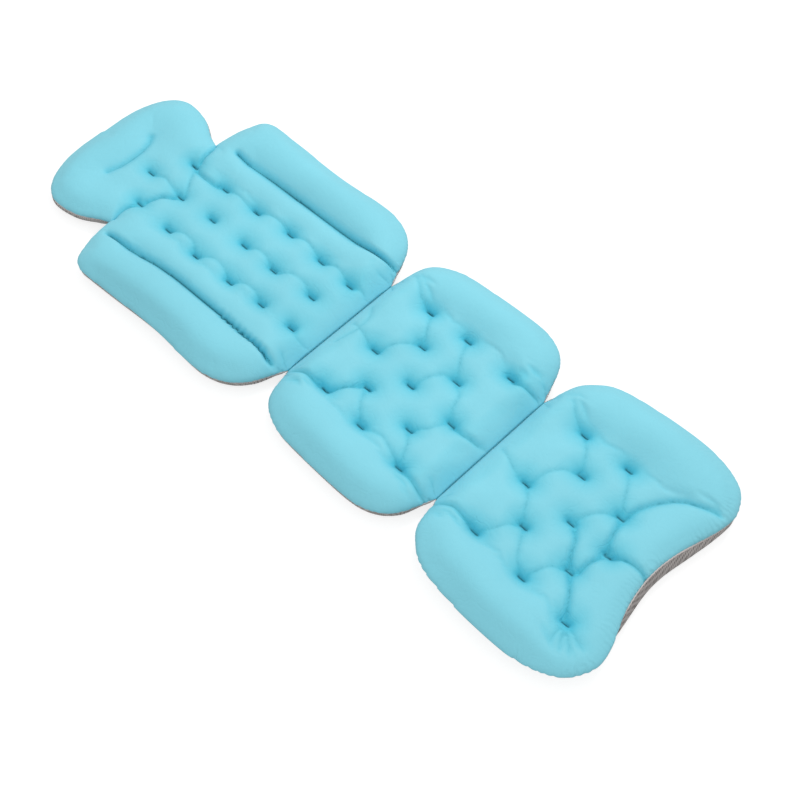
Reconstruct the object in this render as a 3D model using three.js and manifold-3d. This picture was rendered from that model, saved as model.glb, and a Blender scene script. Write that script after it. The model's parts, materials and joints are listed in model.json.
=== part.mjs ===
// A full-length quilted bath pillow: a head cushion, a back, a seat and a leg panel in one row.
// Each panel is a soft cover over a fibre filling on a ribbed mesh base, bound round its free edge.
// The panels fold at three sewn seams, and suction cups under the base hold them to the tub.
// Millimetres. +X runs from head to feet, +Y to the left of whoever lies on it, +Z up.
import * as THREE from "three";
import { mergeVertices } from "three/addons/utils/BufferGeometryUtils.js";
import Module from "manifold-3d";

const wasm = await Module();
wasm.setup();

// Lengths of the four panels, from seam to seam.
const headLength = 164;
const backLength = 419;
const seatLength = 327;
const legLength = 339;

// Half widths of the panels at their widest, and of the seams between them.
const headHalfWidth = 150;
const backHalfWidth = 212;
const seatHalfWidth = 210;
const legHalfWidth = 223;
const neckHalfWidth = 114;
const backSeamHalfWidth = 116;
const legSeamHalfWidth = 121;

// The two free ends: the head's short flat top, and the foot edge that dips between two lobes.
const headEndHalfWidth = 40;
const footLobeHalfWidth = 151;
const footNotchDepth = 22;

// Heights over the tub's floor, and the thickness of the cloth.
const baseHeight = 7;
const seamHeight = 19;
const padRise = 33;
const coverThickness = 1.6;
const baseThickness = 1.6;
const gap = 0.3;

// How far in from an edge the pad takes to reach its full height.
const edgeReach = 38;
const foldReach = 48;
const neckReach = 20;
const baseReach = 24;
const fillingSlack = 2;

// Seams: half the slot between two panels, and the web that is sewn along it.
const seamHalfSlot = 3.2;
const webThickness = 1.5;
const webEndGap = 3;

// Binding tape folded over the free edges.
const bindingHalfHeight = 3;
const bindingThickness = 2;
const bindingRoundShare = 0.55;

// Tufts: sewn points that pull the cover down, in staggered rows.
const tuftReach = 23;
const tuftDepthShare = 0.64;
const backTuftRows = 5;
const backTuftSpacing = 65;
const backTuftInset = 42;
const seatTuftSpacing = 57;
const seatTuftInset = 77;
const seatTuftEndInset = 75;
const legTuftSpacing = 61;
const legTuftInset = 82;
const legTuftEndInset = 76;
const legCentreShares = [0, 1, 1.75];
const headTuftInset = 38;
const neckTuftSpacing = 64;

// Creases: sewn channels and the folds that run from tuft to tuft.
const creaseReach = 11;
const channelDepthShare = 0.6;
const foldDepthShare = 0.4;
const channelSpacing = 130;
const channelHeadInset = 50;
const channelSeamInset = 26;
const headCreaseInset = 92;
const headCreaseHalfLength = 52;

// Suction cups, pushed through a patch and an eyelet in the base.
const cupRadius = 20;
const cupRimWidth = 2.5;
const cupRimHeight = 0.9;
const cupHollow = 3.2;
const cupDomeRadius = 14;
const cupDomeHeight = 3.6;
const cupShoulderRadius = 6;
const cupShoulderHeight = 5.2;
const cupNeckRadius = 3.5;
const cupHeadRadius = 7;
const cupHeadHeight = 1.8;
const eyeletClearance = 0.7;
const headPocketClearance = 1;
const patchRadius = 15;
const patchThickness = 0.9;
const roundFacets = 10;

const cupSideShare = 0.7;
const backCupShare = 0.2;
const seatCupShare = 0.25;
const legCupShare = 0.25;

// Grid lines near an edge, in from it, and one along the top of each side bolster.
const edgeLineInset = 8;
const rollLineInset = 24;
const edgeInsets = [0, edgeLineInset, rollLineInset];
const bolsterLineShare = 0.45;

const colours = {
  cover: new THREE.Color(0.42, 0.79, 0.88),
  filling: new THREE.Color(0.93, 0.93, 0.9),
  base: new THREE.Color(0.56, 0.53, 0.52),
  binding: new THREE.Color(0.66, 0.61, 0.61),
  web: new THREE.Color(0.4, 0.74, 0.82),
  patch: new THREE.Color(0.6, 0.58, 0.57),
  cup: new THREE.Color(0.86, 0.9, 0.92),
};

// Stations of the seams, with the back's lower seam at zero until the whole mat is centred.
const neckX = -backLength;
const backSeamX = 0;
const legSeamX = seatLength;
const headEndX = neckX - headLength;
const footEndX = legSeamX + legLength;

function material(colour, roughness) {
  return new THREE.MeshStandardMaterial({ color: colour, roughness, metalness: 0 });
}

function addMesh(group, name, geometry, colour, roughness) {
  const mesh = new THREE.Mesh(geometry, material(colour, roughness));
  mesh.name = name;
  group.add(mesh);
}

// Boolean work: a closed geometry as a solid, and a solid as a geometry.
function solidOf(geometry) {
  const bare = geometry.clone();
  bare.deleteAttribute("normal");
  bare.deleteAttribute("uv");
  const merged = mergeVertices(bare);
  return new wasm.Manifold(
    new wasm.Mesh({
      numProp: 3,
      vertProperties: merged.attributes.position.array,
      triVerts: new Uint32Array(merged.index.array),
    }),
  );
}

function geometryOf(solid) {
  const { vertProperties, triVerts } = solid.getMesh();
  const geometry = new THREE.BufferGeometry();
  geometry.setAttribute("position", new THREE.BufferAttribute(vertProperties, 3));
  geometry.setIndex(new THREE.BufferAttribute(triVerts, 1));
  geometry.computeVertexNormals();
  return geometry;
}

function indexedGeometry(positions, triangles) {
  const geometry = new THREE.BufferGeometry();
  geometry.setAttribute("position", new THREE.Float32BufferAttribute(positions, 3));
  geometry.setIndex(triangles);
  geometry.computeVertexNormals();
  return geometry;
}

// An upright cylinder between two heights.
function upright(radius, centre, low, high) {
  const geometry = new THREE.CylinderGeometry(radius, radius, high - low, roundFacets);
  geometry.rotateX(Math.PI / 2);
  geometry.translate(centre.x, centre.y, (low + high) / 2);
  return geometry;
}

// Half width of a panel at station x: a smooth line through points given as
// shares of the panel's length and of its greatest half width, between its two end half widths.
function sideLine(low, high, halfWidth, lowHalfWidth, highHalfWidth, shares) {
  const at = (share) => THREE.MathUtils.lerp(low, high, share);
  const curve = new THREE.SplineCurve([
    new THREE.Vector2(low, lowHalfWidth),
    ...shares.map(([along, across]) => new THREE.Vector2(at(along), across * halfWidth)),
    new THREE.Vector2(high, highHalfWidth),
  ]);
  const points = curve.getPoints(shares.length * roundFacets);
  return (x) => {
    const passed = points.filter((point) => point.x < x).length;
    const next = THREE.MathUtils.clamp(passed, 1, points.length - 1);
    const [a, b] = [points[next - 1], points[next]];
    return a.y + ((b.y - a.y) * (x - a.x)) / (b.x - a.x);
  };
}

// Values strictly between two ends, evenly spread.
function between(low, high, count) {
  return Array.from({ length: count }, (_, k) => low + ((high - low) * (k + 1)) / (count + 1));
}

// Grid stations of a panel: close to both ends, then even steps from its first tuft to its last,
// with some stations between the two kinds.
function stationsOf(low, high, firstTuft, lastTuft, steps, lead, tail) {
  const lowEdge = edgeInsets.map((inset) => low + inset);
  const highEdge = edgeInsets.map((inset) => high - inset).reverse();
  return [
    ...lowEdge,
    ...between(lowEdge.at(-1), firstTuft, lead),
    firstTuft,
    ...between(firstTuft, lastTuft, steps - 1),
    lastTuft,
    ...between(lastTuft, highEdge[0], tail),
    ...highEdge,
  ];
}

// Places across a panel of the given half width: the inner lines stay with the tufts,
// drawn together where the panel is narrow, and the outer ones stay with the edge.
function placesAcross(halfWidth, innerLines) {
  const room = halfWidth - edgeInsets.at(-1);
  const squeeze = Math.min(1, room / (innerLines.at(-1) + edgeInsets.at(-1)));
  const inner = innerLines.map((line) => line * squeeze);
  const outer = edgeInsets.map((inset) => halfWidth - inset).reverse();
  const half = [...inner, ...outer];
  return [...half.slice(1).reverse().map((y) => -y), ...half];
}

// Inner grid lines at half the tuft spacing, and one over the side bolster where there is one.
function innerLinesOf(spacing, lines, halfWidth) {
  const tufted = Array.from({ length: lines }, (_, k) => (k * spacing) / 2);
  const bolster = THREE.MathUtils.lerp(tufted.at(-1), halfWidth, bolsterLineShare);
  return halfWidth ? [...tufted, bolster] : tufted;
}

// Distance in plan from a point to a line of points.
function distanceTo(point, line) {
  const closest = new THREE.Vector2();
  let least = Infinity;
  for (let k = 1; k < line.length; k++) {
    const [a, b] = [line[k - 1], line[k]];
    const along = b.clone().sub(a);
    const share = point.clone().sub(a).dot(along) / along.lengthSq();
    closest.copy(a).addScaledVector(along, THREE.MathUtils.clamp(share, 0, 1));
    least = Math.min(least, closest.distanceTo(point));
  }
  return least;
}

// A quarter of an ellipse for a free edge, and a quarter of a sine for a fold,
// which leaves a V between two panels so that they can fold towards each other.
function roundOver(distance, reach) {
  const left = 1 - Math.min(distance / reach, 1);
  return Math.sqrt(1 - left * left);
}

function foldOver(distance, reach) {
  return Math.sin((Math.PI / 2) * Math.min(distance / reach, 1));
}

function dip(distance, reach, depthShare) {
  return 1 - depthShare * Math.exp(-((distance / reach) ** 2));
}

// A closed solid between two height functions over a grid of places in plan.
// Its diagonals turn about every second place, so that they meet in the tufts.
function slab(plan, lower, upper) {
  const rows = plan.length;
  const columns = plan[0].length;
  const positions = [];
  for (const height of [lower, upper])
    for (const place of plan.flat()) positions.push(place.x, place.y, height(place));
  const at = (layer, i, j) => (layer * rows + i) * columns + j;
  const triangles = [];
  for (let i = 1; i < rows; i++)
    for (let j = 1; j < columns; j++)
      for (const layer of [0, 1]) {
        const [a, b, c, d] = [
          at(layer, i - 1, j - 1),
          at(layer, i, j - 1),
          at(layer, i, j),
          at(layer, i - 1, j),
        ];
        const pair = (i + j) % 2 ? [[a, b, c], [a, c, d]] : [[a, b, d], [b, c, d]];
        for (const [p, q, r] of pair) triangles.push(...(layer ? [p, q, r] : [p, r, q]));
      }
  const rim = [];
  for (let i = 0; i < rows - 1; i++) rim.push([i, 0]);
  for (let j = 0; j < columns - 1; j++) rim.push([rows - 1, j]);
  for (let i = rows - 1; i > 0; i--) rim.push([i, columns - 1]);
  for (let j = columns - 1; j > 0; j--) rim.push([0, j]);
  rim.forEach(([i, j], k) => {
    const [m, n] = rim[(k + 1) % rim.length];
    const [p, q, r, s] = [at(0, i, j), at(0, m, n), at(1, m, n), at(1, i, j)];
    triangles.push(p, q, r, p, r, s);
  });
  return indexedGeometry(positions, triangles);
}

// A tape of constant section along the outside of a line of edge places.
// Where the line ends at a fold, its last section lies in the plane of that fold.
function tape(line) {
  const round = bindingThickness * bindingRoundShare;
  const section = [
    [gap, -bindingHalfHeight],
    [gap + round, -bindingHalfHeight],
    [gap + bindingThickness, round - bindingHalfHeight],
    [gap + bindingThickness, bindingHalfHeight - round],
    [gap + round, bindingHalfHeight],
    [gap, bindingHalfHeight],
  ];
  const normalOf = (a, b) => new THREE.Vector2(b.y - a.y, a.x - b.x).normalize();
  const positions = [];
  line.forEach((place, k) => {
    const before = k > 0 ? normalOf(line[k - 1], place) : null;
    const after = k < line.length - 1 ? normalOf(place, line[k + 1]) : null;
    const inFold = new THREE.Vector2(0, Math.sign(place.y));
    const out = before && after ? before.clone().add(after).normalize() : inFold;
    const stretch = before && after ? 1 / out.dot(after) : 1;
    for (const [away, up] of section) {
      const point = place.clone().addScaledVector(out, stretch * away);
      positions.push(point.x, point.y, seamHeight + up);
    }
  });
  const n = section.length;
  const triangles = [];
  for (let k = 1; k < line.length; k++)
    for (let e = 0; e < n; e++) {
      const [a, b] = [(k - 1) * n + e, (k - 1) * n + ((e + 1) % n)];
      triangles.push(a, a + n, b + n, a, b + n, b);
    }
  const last = (line.length - 1) * n;
  for (let e = 1; e < n - 1; e++) {
    triangles.push(0, e, e + 1);
    triangles.push(last, last + e + 1, last + e);
  }
  return indexedGeometry(positions, triangles);
}

// The pieces of one panel. It knows its stations and places, what pulls its cover down,
// which of its ends fold, and where its cups are.
function buildPanel(panel) {
  const { name, low, high, lowFold, highFold, bend = (place) => place } = panel;
  const plan = panel.stations.map((x) => {
    const halfWidth = panel.halfWidthAt(x);
    const ends = [lowFold ? Infinity : x - low, highFold ? Infinity : high - x];
    return placesAcross(halfWidth, panel.innerLines).map((y) => {
      const inset = Math.min(halfWidth - Math.abs(y), ...ends);
      return Object.assign(bend(new THREE.Vector2(x, y)), { inset });
    });
  });
  const sideLines = [plan.map((row) => row[0]), plan.map((row) => row.at(-1))];
  const freeEnds = [lowFold ? null : plan[0], highFold ? null : plan.at(-1)].filter(Boolean);
  const freeEdges = [...sideLines, ...freeEnds];

  const toEdge = (place) => Math.min(...freeEdges.map((line) => distanceTo(place, line)));
  const foldsAt = (place, lowReach, highReach) =>
    (lowFold ? foldOver(place.x - low, lowReach) : 1) *
    (highFold ? foldOver(high - place.x, highReach) : 1);

  const coverOuter = (place) => {
    const pulled = Math.min(
      ...panel.tufts.map((tuft) => dip(place.distanceTo(tuft), tuftReach, tuftDepthShare)),
      ...panel.creases.map(({ line, depthShare }) =>
        dip(distanceTo(place, line), creaseReach, depthShare),
      ),
    );
    const crown = roundOver(toEdge(place), edgeReach) * foldsAt(place, lowFold, highFold);
    return seamHeight + gap / 2 + coverThickness + padRise * crown * pulled;
  };
  const coverInner = (place) => coverOuter(place) - coverThickness;

  const edgeUnderside = seamHeight - gap / 2 - baseThickness;
  const baseRoll = (place) =>
    roundOver(place.inset, baseReach) * foldsAt(place, baseReach, baseReach);
  const baseOuter = (place) => edgeUnderside + (baseHeight - edgeUnderside) * baseRoll(place);
  const baseInner = (place) => baseOuter(place) + baseThickness;

  // The filling lies inside the edge, on the cover's own grid, so that it fills every tuft.
  const core = plan.slice(1, -1).map((row) => row.slice(1, -1));
  const coreLower = (place) => baseInner(place) + gap + fillingSlack * (1 - baseRoll(place));
  const coreUpper = (place) => coverInner(place) - gap;

  // The base is flat inside its rolled rim, so it needs no inner lines unless its rows are bent.
  const rim = edgeInsets.length;
  const basePlan = panel.bend ? plan : plan.map((row) => [...row.slice(0, rim), ...row.slice(-rim)]);

  const eyelets = panel.cups.map((cup) =>
    solidOf(upright(cupNeckRadius + eyeletClearance, cup, 0, seamHeight)),
  );
  const pocketTop = baseHeight + baseThickness + gap + cupHeadHeight + headPocketClearance;
  const pockets = panel.cups.map((cup) =>
    solidOf(upright(cupHeadRadius + headPocketClearance, cup, 0, pocketTop)),
  );
  const cut = (geometry, holes) =>
    geometryOf(holes.reduce((solid, hole) => solid.subtract(hole), solidOf(geometry)));

  const group = new THREE.Group();
  addMesh(group, `${name}_cover`, slab(plan, coverInner, coverOuter), colours.cover, 0.8);
  addMesh(
    group,
    `${name}_filling`,
    cut(slab(core, coreLower, coreUpper), pockets),
    colours.filling,
    1,
  );
  addMesh(
    group,
    `${name}_mesh_base`,
    cut(slab(basePlan, baseOuter, baseInner), eyelets),
    colours.base,
    0.9,
  );
  addBindings(group, name, sideLines, lowFold, highFold, plan);
  panel.cups.forEach((cup) => addCup(group, name, cup, panel.cups));
  return group;
}

// One tape on each side of a panel that folds at both ends, or one round a free end.
function addBindings(group, name, [right, left], lowFold, highFold, plan) {
  if (lowFold && highFold) {
    addMesh(group, `${name}_binding_right`, tape(right), colours.binding, 0.85);
    addMesh(group, `${name}_binding_left`, tape([...left].reverse()), colours.binding, 0.85);
    return;
  }
  const round = lowFold
    ? [...right, ...plan.at(-1).slice(1, -1), ...[...left].reverse()]
    : [...[...left].reverse(), ...plan[0].slice(1, -1).reverse(), ...right];
  addMesh(group, `${name}_binding`, tape(round), colours.binding, 0.85);
}

// A suction cup and the patch that keeps it from tearing out of the mesh.
function addCup(group, name, centre, cups) {
  const neckTop = baseHeight + baseThickness + gap;
  const profile = [
    [0, cupHollow],
    [cupRadius - cupRimWidth, 0],
    [cupRadius, 0],
    [cupRadius, cupRimHeight],
    [cupDomeRadius, cupDomeHeight],
    [cupShoulderRadius, cupShoulderHeight],
    [cupNeckRadius, cupShoulderHeight + cupRimHeight / 2],
    [cupNeckRadius, neckTop],
    [cupHeadRadius, neckTop],
    [cupHeadRadius, neckTop + cupHeadHeight / 2],
    [0, neckTop + cupHeadHeight],
  ];
  const hole = cupNeckRadius + eyeletClearance;
  const patchTop = baseHeight - gap;
  const ring = [
    [hole, patchTop - patchThickness],
    [patchRadius, patchTop - patchThickness],
    [patchRadius, patchTop],
    [hole, patchTop],
    [hole, patchTop - patchThickness],
  ];
  const label = `${name}_${placeWords(centre, cups)}`;
  addMesh(group, `${label}_suction_cup`, turned(profile, centre), colours.cup, 0.25);
  addMesh(group, `${label}_cup_patch`, turned(ring, centre), colours.patch, 0.9);
}

function turned(profile, centre) {
  const points = profile.map(([radius, height]) => new THREE.Vector2(radius, height));
  const geometry = new THREE.LatheGeometry(points, roundFacets);
  geometry.rotateX(Math.PI / 2);
  geometry.translate(centre.x, centre.y, 0);
  return geometry;
}

// Words that tell the cups of one panel apart.
function placeWords(centre, cups) {
  const side = centre.y > 0 ? "left" : "right";
  const stations = [...new Set(cups.map((cup) => cup.x))];
  if (stations.length === 1) return side;
  return `${centre.x === Math.min(...stations) ? "upper" : "lower"}_${side}`;
}

// Places of a row or a set of rows, mirrored about the middle line.
function bothSides(x, y) {
  return [new THREE.Vector2(x, y), new THREE.Vector2(x, -y)];
}

function cupPlaces(stations, y) {
  return stations.flatMap((x) => bothSides(x, y));
}

function cupStations(low, high, share) {
  const inset = share * (high - low);
  return [low + inset, high - inset];
}

function foldLine(...points) {
  return { line: points.map(([x, y]) => new THREE.Vector2(x, y)), depthShare: foldDepthShare };
}

function headPanel() {
  const low = headEndX;
  const high = neckX - seamHalfSlot;
  const tuftX = neckX - headTuftInset;
  const creaseX = neckX - headCreaseInset;
  const shares = [[0.02, 0.47], [0.06, 0.66], [0.13, 0.82], [0.23, 0.94], [0.36, 1],
    [0.55, 0.985], [0.71, 0.93], [0.86, 0.83]];
  return {
    name: "head",
    low,
    high,
    lowFold: 0,
    highFold: neckReach,
    stations: stationsOf(low, high, creaseX, tuftX, 4, 2, 0),
    innerLines: innerLinesOf(neckTuftSpacing, 4),
    halfWidthAt: sideLine(low, high, headHalfWidth, headEndHalfWidth, neckHalfWidth, shares),
    tufts: [new THREE.Vector2(tuftX, 0), ...bothSides(neckX, neckTuftSpacing)],
    creases: [foldLine([creaseX, -headCreaseHalfLength], [creaseX, headCreaseHalfLength])],
    cups: cupPlaces([neckX - headLength / 2], headHalfWidth / 2),
  };
}

function backPanel() {
  const low = neckX + seamHalfSlot;
  const high = backSeamX - seamHalfSlot;
  const first = backSeamX - backTuftInset;
  const pitch = (first - neckX) / backTuftRows;
  const top = first - (backTuftRows - 0.5) * pitch;
  const tufts = [];
  for (let k = 0; k < backTuftRows; k++) {
    tufts.push(...bothSides(first - k * pitch, backTuftSpacing));
    tufts.push(new THREE.Vector2(first - (k + 0.5) * pitch, 0));
  }
  const channelLow = neckX + channelHeadInset;
  const channelHigh = backSeamX - channelSeamInset;
  const channels = [channelSpacing, -channelSpacing].map((y) => ({
    line: [new THREE.Vector2(channelLow, y), new THREE.Vector2(channelHigh, y)],
    depthShare: channelDepthShare,
  }));
  const shares = [[0.012, 0.77], [0.03, 0.9], [0.06, 0.985], [0.1, 1], [0.25, 0.99], [0.5, 0.965],
    [0.72, 0.99], [0.81, 0.975], [0.88, 0.92], [0.93, 0.83], [0.97, 0.7]];
  return {
    name: "back",
    low,
    high,
    lowFold: neckReach,
    highFold: foldReach,
    stations: stationsOf(low, high, top, first, 18, 0, 0),
    innerLines: innerLinesOf(channelSpacing / 2, 5, backHalfWidth),
    halfWidthAt: sideLine(low, high, backHalfWidth, neckHalfWidth, backSeamHalfWidth, shares),
    tufts: [...tufts, ...bothSides(neckX, neckTuftSpacing)],
    creases: channels,
    cups: cupPlaces(cupStations(low, high, backCupShare), backHalfWidth * cupSideShare),
  };
}

function seatPanel() {
  const low = backSeamX + seamHalfSlot;
  const high = legSeamX - seamHalfSlot;
  const first = backSeamX + seatTuftInset;
  const last = legSeamX - seatTuftEndInset;
  const pitch = (last - first) / 2;
  const outer = 2 * seatTuftSpacing;
  const tufts = [0, 1, 2].flatMap((k) => [
    ...bothSides(first + k * pitch, outer),
    new THREE.Vector2(first + k * pitch, 0),
  ]);
  const staggered = [0.5, 1.5].flatMap((k) => bothSides(first + k * pitch, seatTuftSpacing));
  const shares = [[0.04, 0.74], [0.09, 0.85], [0.16, 0.92], [0.27, 0.97], [0.6, 1], [0.77, 0.99],
    [0.87, 0.93], [0.93, 0.84], [0.97, 0.72]];
  return {
    name: "seat",
    low,
    high,
    lowFold: foldReach,
    highFold: foldReach,
    stations: stationsOf(low, high, first, last, 8, 2, 2),
    innerLines: innerLinesOf(seatTuftSpacing, 5, seatHalfWidth),
    halfWidthAt: sideLine(low, high, seatHalfWidth, backSeamHalfWidth, legSeamHalfWidth, shares),
    tufts: [...tufts, ...staggered],
    creases: [
      foldLine([low, -backSeamHalfWidth], [first, -outer]),
      foldLine([last, outer], [high, legSeamHalfWidth]),
      foldLine([last, -outer], [high, -legSeamHalfWidth]),
    ],
    cups: cupPlaces(cupStations(low, high, seatCupShare), seatHalfWidth * cupSideShare),
  };
}

function legPanel() {
  const low = legSeamX + seamHalfSlot;
  const high = footEndX;
  const first = legSeamX + legTuftInset;
  const last = footEndX - legTuftEndInset;
  const pitch = (last - first) / 2;
  const outer = 2 * legTuftSpacing;
  const tufts = [0, 1, 2].flatMap((k) => bothSides(first + k * pitch, outer));
  const centres = legCentreShares.map((k) => new THREE.Vector2(first + k * pitch, 0));
  const staggered = [0.5, 1.5].flatMap((k) => bothSides(first + k * pitch, legTuftSpacing));
  const notch = (place) => {
    const nearEnd = Math.max(0, (place.x - last) / (high - last));
    const across = Math.min(1, Math.abs(place.y) / footLobeHalfWidth);
    const depth = (footNotchDepth * (1 + Math.cos(Math.PI * across))) / 2;
    return new THREE.Vector2(place.x - nearEnd * depth, place.y);
  };
  const shares = [[0.03, 0.67], [0.07, 0.77], [0.12, 0.85], [0.2, 0.93], [0.36, 0.975], [0.6, 1],
    [0.73, 0.99], [0.84, 0.955], [0.92, 0.9], [0.97, 0.82]];
  const rollLine = [1, -1].map((side) =>
    foldLine(
      [last, side * outer],
      [first + 1.5 * pitch, side * legTuftSpacing],
      [first + legCentreShares.at(-1) * pitch, 0],
    ),
  );
  return {
    name: "leg",
    low,
    high,
    lowFold: foldReach,
    highFold: 0,
    bend: notch,
    stations: stationsOf(low, high, first, last, 8, 2, 1),
    innerLines: innerLinesOf(legTuftSpacing, 5, legHalfWidth),
    halfWidthAt: sideLine(low, high, legHalfWidth, legSeamHalfWidth, footLobeHalfWidth, shares),
    tufts: [...tufts, ...centres, ...staggered],
    creases: [foldLine([low, -legSeamHalfWidth], [first, -outer]), ...rollLine],
    cups: cupPlaces(cupStations(low, high, legCupShare), legHalfWidth * cupSideShare),
  };
}

// The flat web sewn along a fold, thin enough for both panels to turn about it.
function addSeamWeb(group, name, x, halfWidth) {
  const geometry = new THREE.BoxGeometry(
    2 * (seamHalfSlot - gap),
    2 * (halfWidth - webEndGap),
    webThickness,
  );
  geometry.translate(x, 0, seamHeight);
  addMesh(group, name, geometry, colours.web, 0.85);
}

const mat = new THREE.Group();
const centreX = (headEndX + footEndX) / 2;
mat.position.x = -centreX;
for (const panel of [headPanel(), backPanel(), seatPanel(), legPanel()]) mat.add(buildPanel(panel));
addSeamWeb(mat, "neck_seam_web", neckX, neckHalfWidth);
addSeamWeb(mat, "back_seam_web", backSeamX, backSeamHalfWidth);
addSeamWeb(mat, "leg_seam_web", legSeamX, legSeamHalfWidth);

const bathPillow = new THREE.Group();
bathPillow.add(mat);
export default bathPillow;
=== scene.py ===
# %% [markdown]
# # A quilted bath pillow
#
# The real thing is a mat for lying in a tub: a head cushion, a back, a seat and a leg panel in a row.
# Each panel is a soft blue knit cover over fibre filling, tufted with short sewn bars, on a grey air mesh.
# The hard facts (places, joints, sizes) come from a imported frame, so this script only makes the looks.

import bmesh
import bpy
import json
import math
import numpy as np
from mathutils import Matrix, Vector
from mathutils.bvhtree import BVHTree
from mathutils.geometry import delaunay_2d_cdt


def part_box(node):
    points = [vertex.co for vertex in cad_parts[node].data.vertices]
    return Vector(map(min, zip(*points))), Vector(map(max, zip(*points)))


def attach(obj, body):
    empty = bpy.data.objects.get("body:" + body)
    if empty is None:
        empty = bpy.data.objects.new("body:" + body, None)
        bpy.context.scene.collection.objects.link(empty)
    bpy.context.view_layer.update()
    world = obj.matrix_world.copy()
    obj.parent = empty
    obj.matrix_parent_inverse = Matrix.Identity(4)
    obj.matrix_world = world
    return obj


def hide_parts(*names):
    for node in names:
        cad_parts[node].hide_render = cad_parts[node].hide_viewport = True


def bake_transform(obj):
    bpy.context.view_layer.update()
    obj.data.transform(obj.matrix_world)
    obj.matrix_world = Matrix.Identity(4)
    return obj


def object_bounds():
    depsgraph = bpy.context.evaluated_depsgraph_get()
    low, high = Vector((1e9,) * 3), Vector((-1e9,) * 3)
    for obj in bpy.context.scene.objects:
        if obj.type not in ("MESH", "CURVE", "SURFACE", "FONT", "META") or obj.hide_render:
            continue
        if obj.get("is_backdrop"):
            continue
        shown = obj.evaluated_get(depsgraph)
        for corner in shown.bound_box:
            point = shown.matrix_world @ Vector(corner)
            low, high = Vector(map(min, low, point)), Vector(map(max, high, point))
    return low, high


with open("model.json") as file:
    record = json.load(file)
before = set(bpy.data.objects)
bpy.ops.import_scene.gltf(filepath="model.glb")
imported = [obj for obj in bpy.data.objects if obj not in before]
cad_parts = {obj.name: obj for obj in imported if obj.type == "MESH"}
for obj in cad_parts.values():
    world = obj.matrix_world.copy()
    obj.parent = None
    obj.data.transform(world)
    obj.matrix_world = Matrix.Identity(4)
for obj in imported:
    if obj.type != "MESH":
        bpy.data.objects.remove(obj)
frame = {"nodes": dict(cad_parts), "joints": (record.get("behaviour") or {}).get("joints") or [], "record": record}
cad_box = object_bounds()

# %% [markdown]
# The three folds are joints of the frame, so their places are read and not typed.
# Every fold's axis runs along a sewn seam at the height where cover and base meet.

# %% Where the folds are
MM = 0.001
seam_at = {joint["name"]: joint["pos_m"] for joint in frame["joints"]}
NECK_X = seam_at["neck_fold"][0]
BACK_SEAM_X = seam_at["back_fold"][0]
LEG_SEAM_X = seam_at["leg_fold"][0]
SEAM_Z = seam_at["back_fold"][2]
SEAM_HALF_GAP = 0.6 * MM
print("seams at", NECK_X, BACK_SEAM_X, LEG_SEAM_X, "height", SEAM_Z)

# %% [markdown]
# The camera comes first, because every later choice is judged through it.
# It looks down on the mat from over its right side, with a long lens, as in a shop picture.

# %% Camera
CAMERA_AZIMUTH = math.radians(44.365)
CAMERA_ELEVATION = math.radians(56.705)
CAMERA_DISTANCE = 2.7652
CAMERA_LENS = 79.53
CAMERA_TARGET = Vector((0.1136, -0.023, 0))

camera_data = bpy.data.cameras.new("camera")
camera_data.lens = CAMERA_LENS
camera_data.clip_end = 30
camera = bpy.data.objects.new("camera", camera_data)
bpy.context.scene.collection.objects.link(camera)
toward_camera = Vector((
    math.sin(CAMERA_AZIMUTH) * math.cos(CAMERA_ELEVATION),
    -math.cos(CAMERA_AZIMUTH) * math.cos(CAMERA_ELEVATION),
    math.sin(CAMERA_ELEVATION),
))
camera.location = CAMERA_TARGET + CAMERA_DISTANCE * toward_camera
camera.rotation_euler = toward_camera.to_track_quat("Z", "Y").to_euler()
bpy.context.scene.camera = camera
print("camera at", [round(value, 3) for value in camera.location])

# %% [markdown]
# Every material is a small node tree. A few helpers keep the trees readable: one makes an empty material,
# one adds a node and sets or links its sockets by name, and one adds a step of arithmetic.

# %% Helpers for node trees
WHITE = (1, 1, 1, 1)
scene = bpy.context.scene
scene.view_settings.view_transform = "Standard"


def new_material(name):
    """An empty node material and its node tree."""
    material = bpy.data.materials.new(name)
    material.use_nodes = True
    material.node_tree.nodes.clear()
    return material, material.node_tree


def node(tree, kind, values=None, **settings):
    """A node with its plain settings, and some sockets set or linked by name."""
    made = tree.nodes.new(kind)
    for name, value in settings.items():
        setattr(made, name, value)
    for name, value in (values or {}).items():
        if isinstance(value, bpy.types.NodeSocket):
            tree.links.new(value, made.inputs[name])
        else:
            made.inputs[name].default_value = value
    return made


def value_of(tree, operation, *values):
    """The result of one step of arithmetic with sockets and plain numbers."""
    return node(tree, "ShaderNodeMath", dict(enumerate(values)), operation=operation).outputs[0]


# %% [markdown]
# A studio picture on white: a soft lamp high over the mat's left side, a weak one low on its right side,
# and a bright plain sky round it.
# The sky is whiter for the camera and for reflections than the light that it gives.

# %% Sky and lamps
SKY_STRENGTH = 0.66
KEY_POWER = 35
KEY_PLACE = Vector((-0.3, 1.9, 2.2))
FILL_POWER = 7
FILL_PLACE = Vector((0.9, -1.9, 1.2))
LAMP_SIZE = 1.6

world = bpy.data.worlds.new("studio")
scene.world = world
world.use_nodes = True
sky = world.node_tree
sky.nodes.clear()
path = node(sky, "ShaderNodeLightPath").outputs
seen = value_of(sky, "MAXIMUM", path["Is Camera Ray"], path["Is Glossy Ray"])
seen = value_of(sky, "MAXIMUM", seen, path["Is Transmission Ray"])
plain = node(sky, "ShaderNodeBackground", {"Color": WHITE, "Strength": SKY_STRENGTH})
white = node(sky, "ShaderNodeBackground", {"Color": WHITE, "Strength": 1.0})
either = node(sky, "ShaderNodeMixShader", {0: seen, 1: plain.outputs[0], 2: white.outputs[0]})
node(sky, "ShaderNodeOutputWorld", {"Surface": either.outputs[0]})


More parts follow.
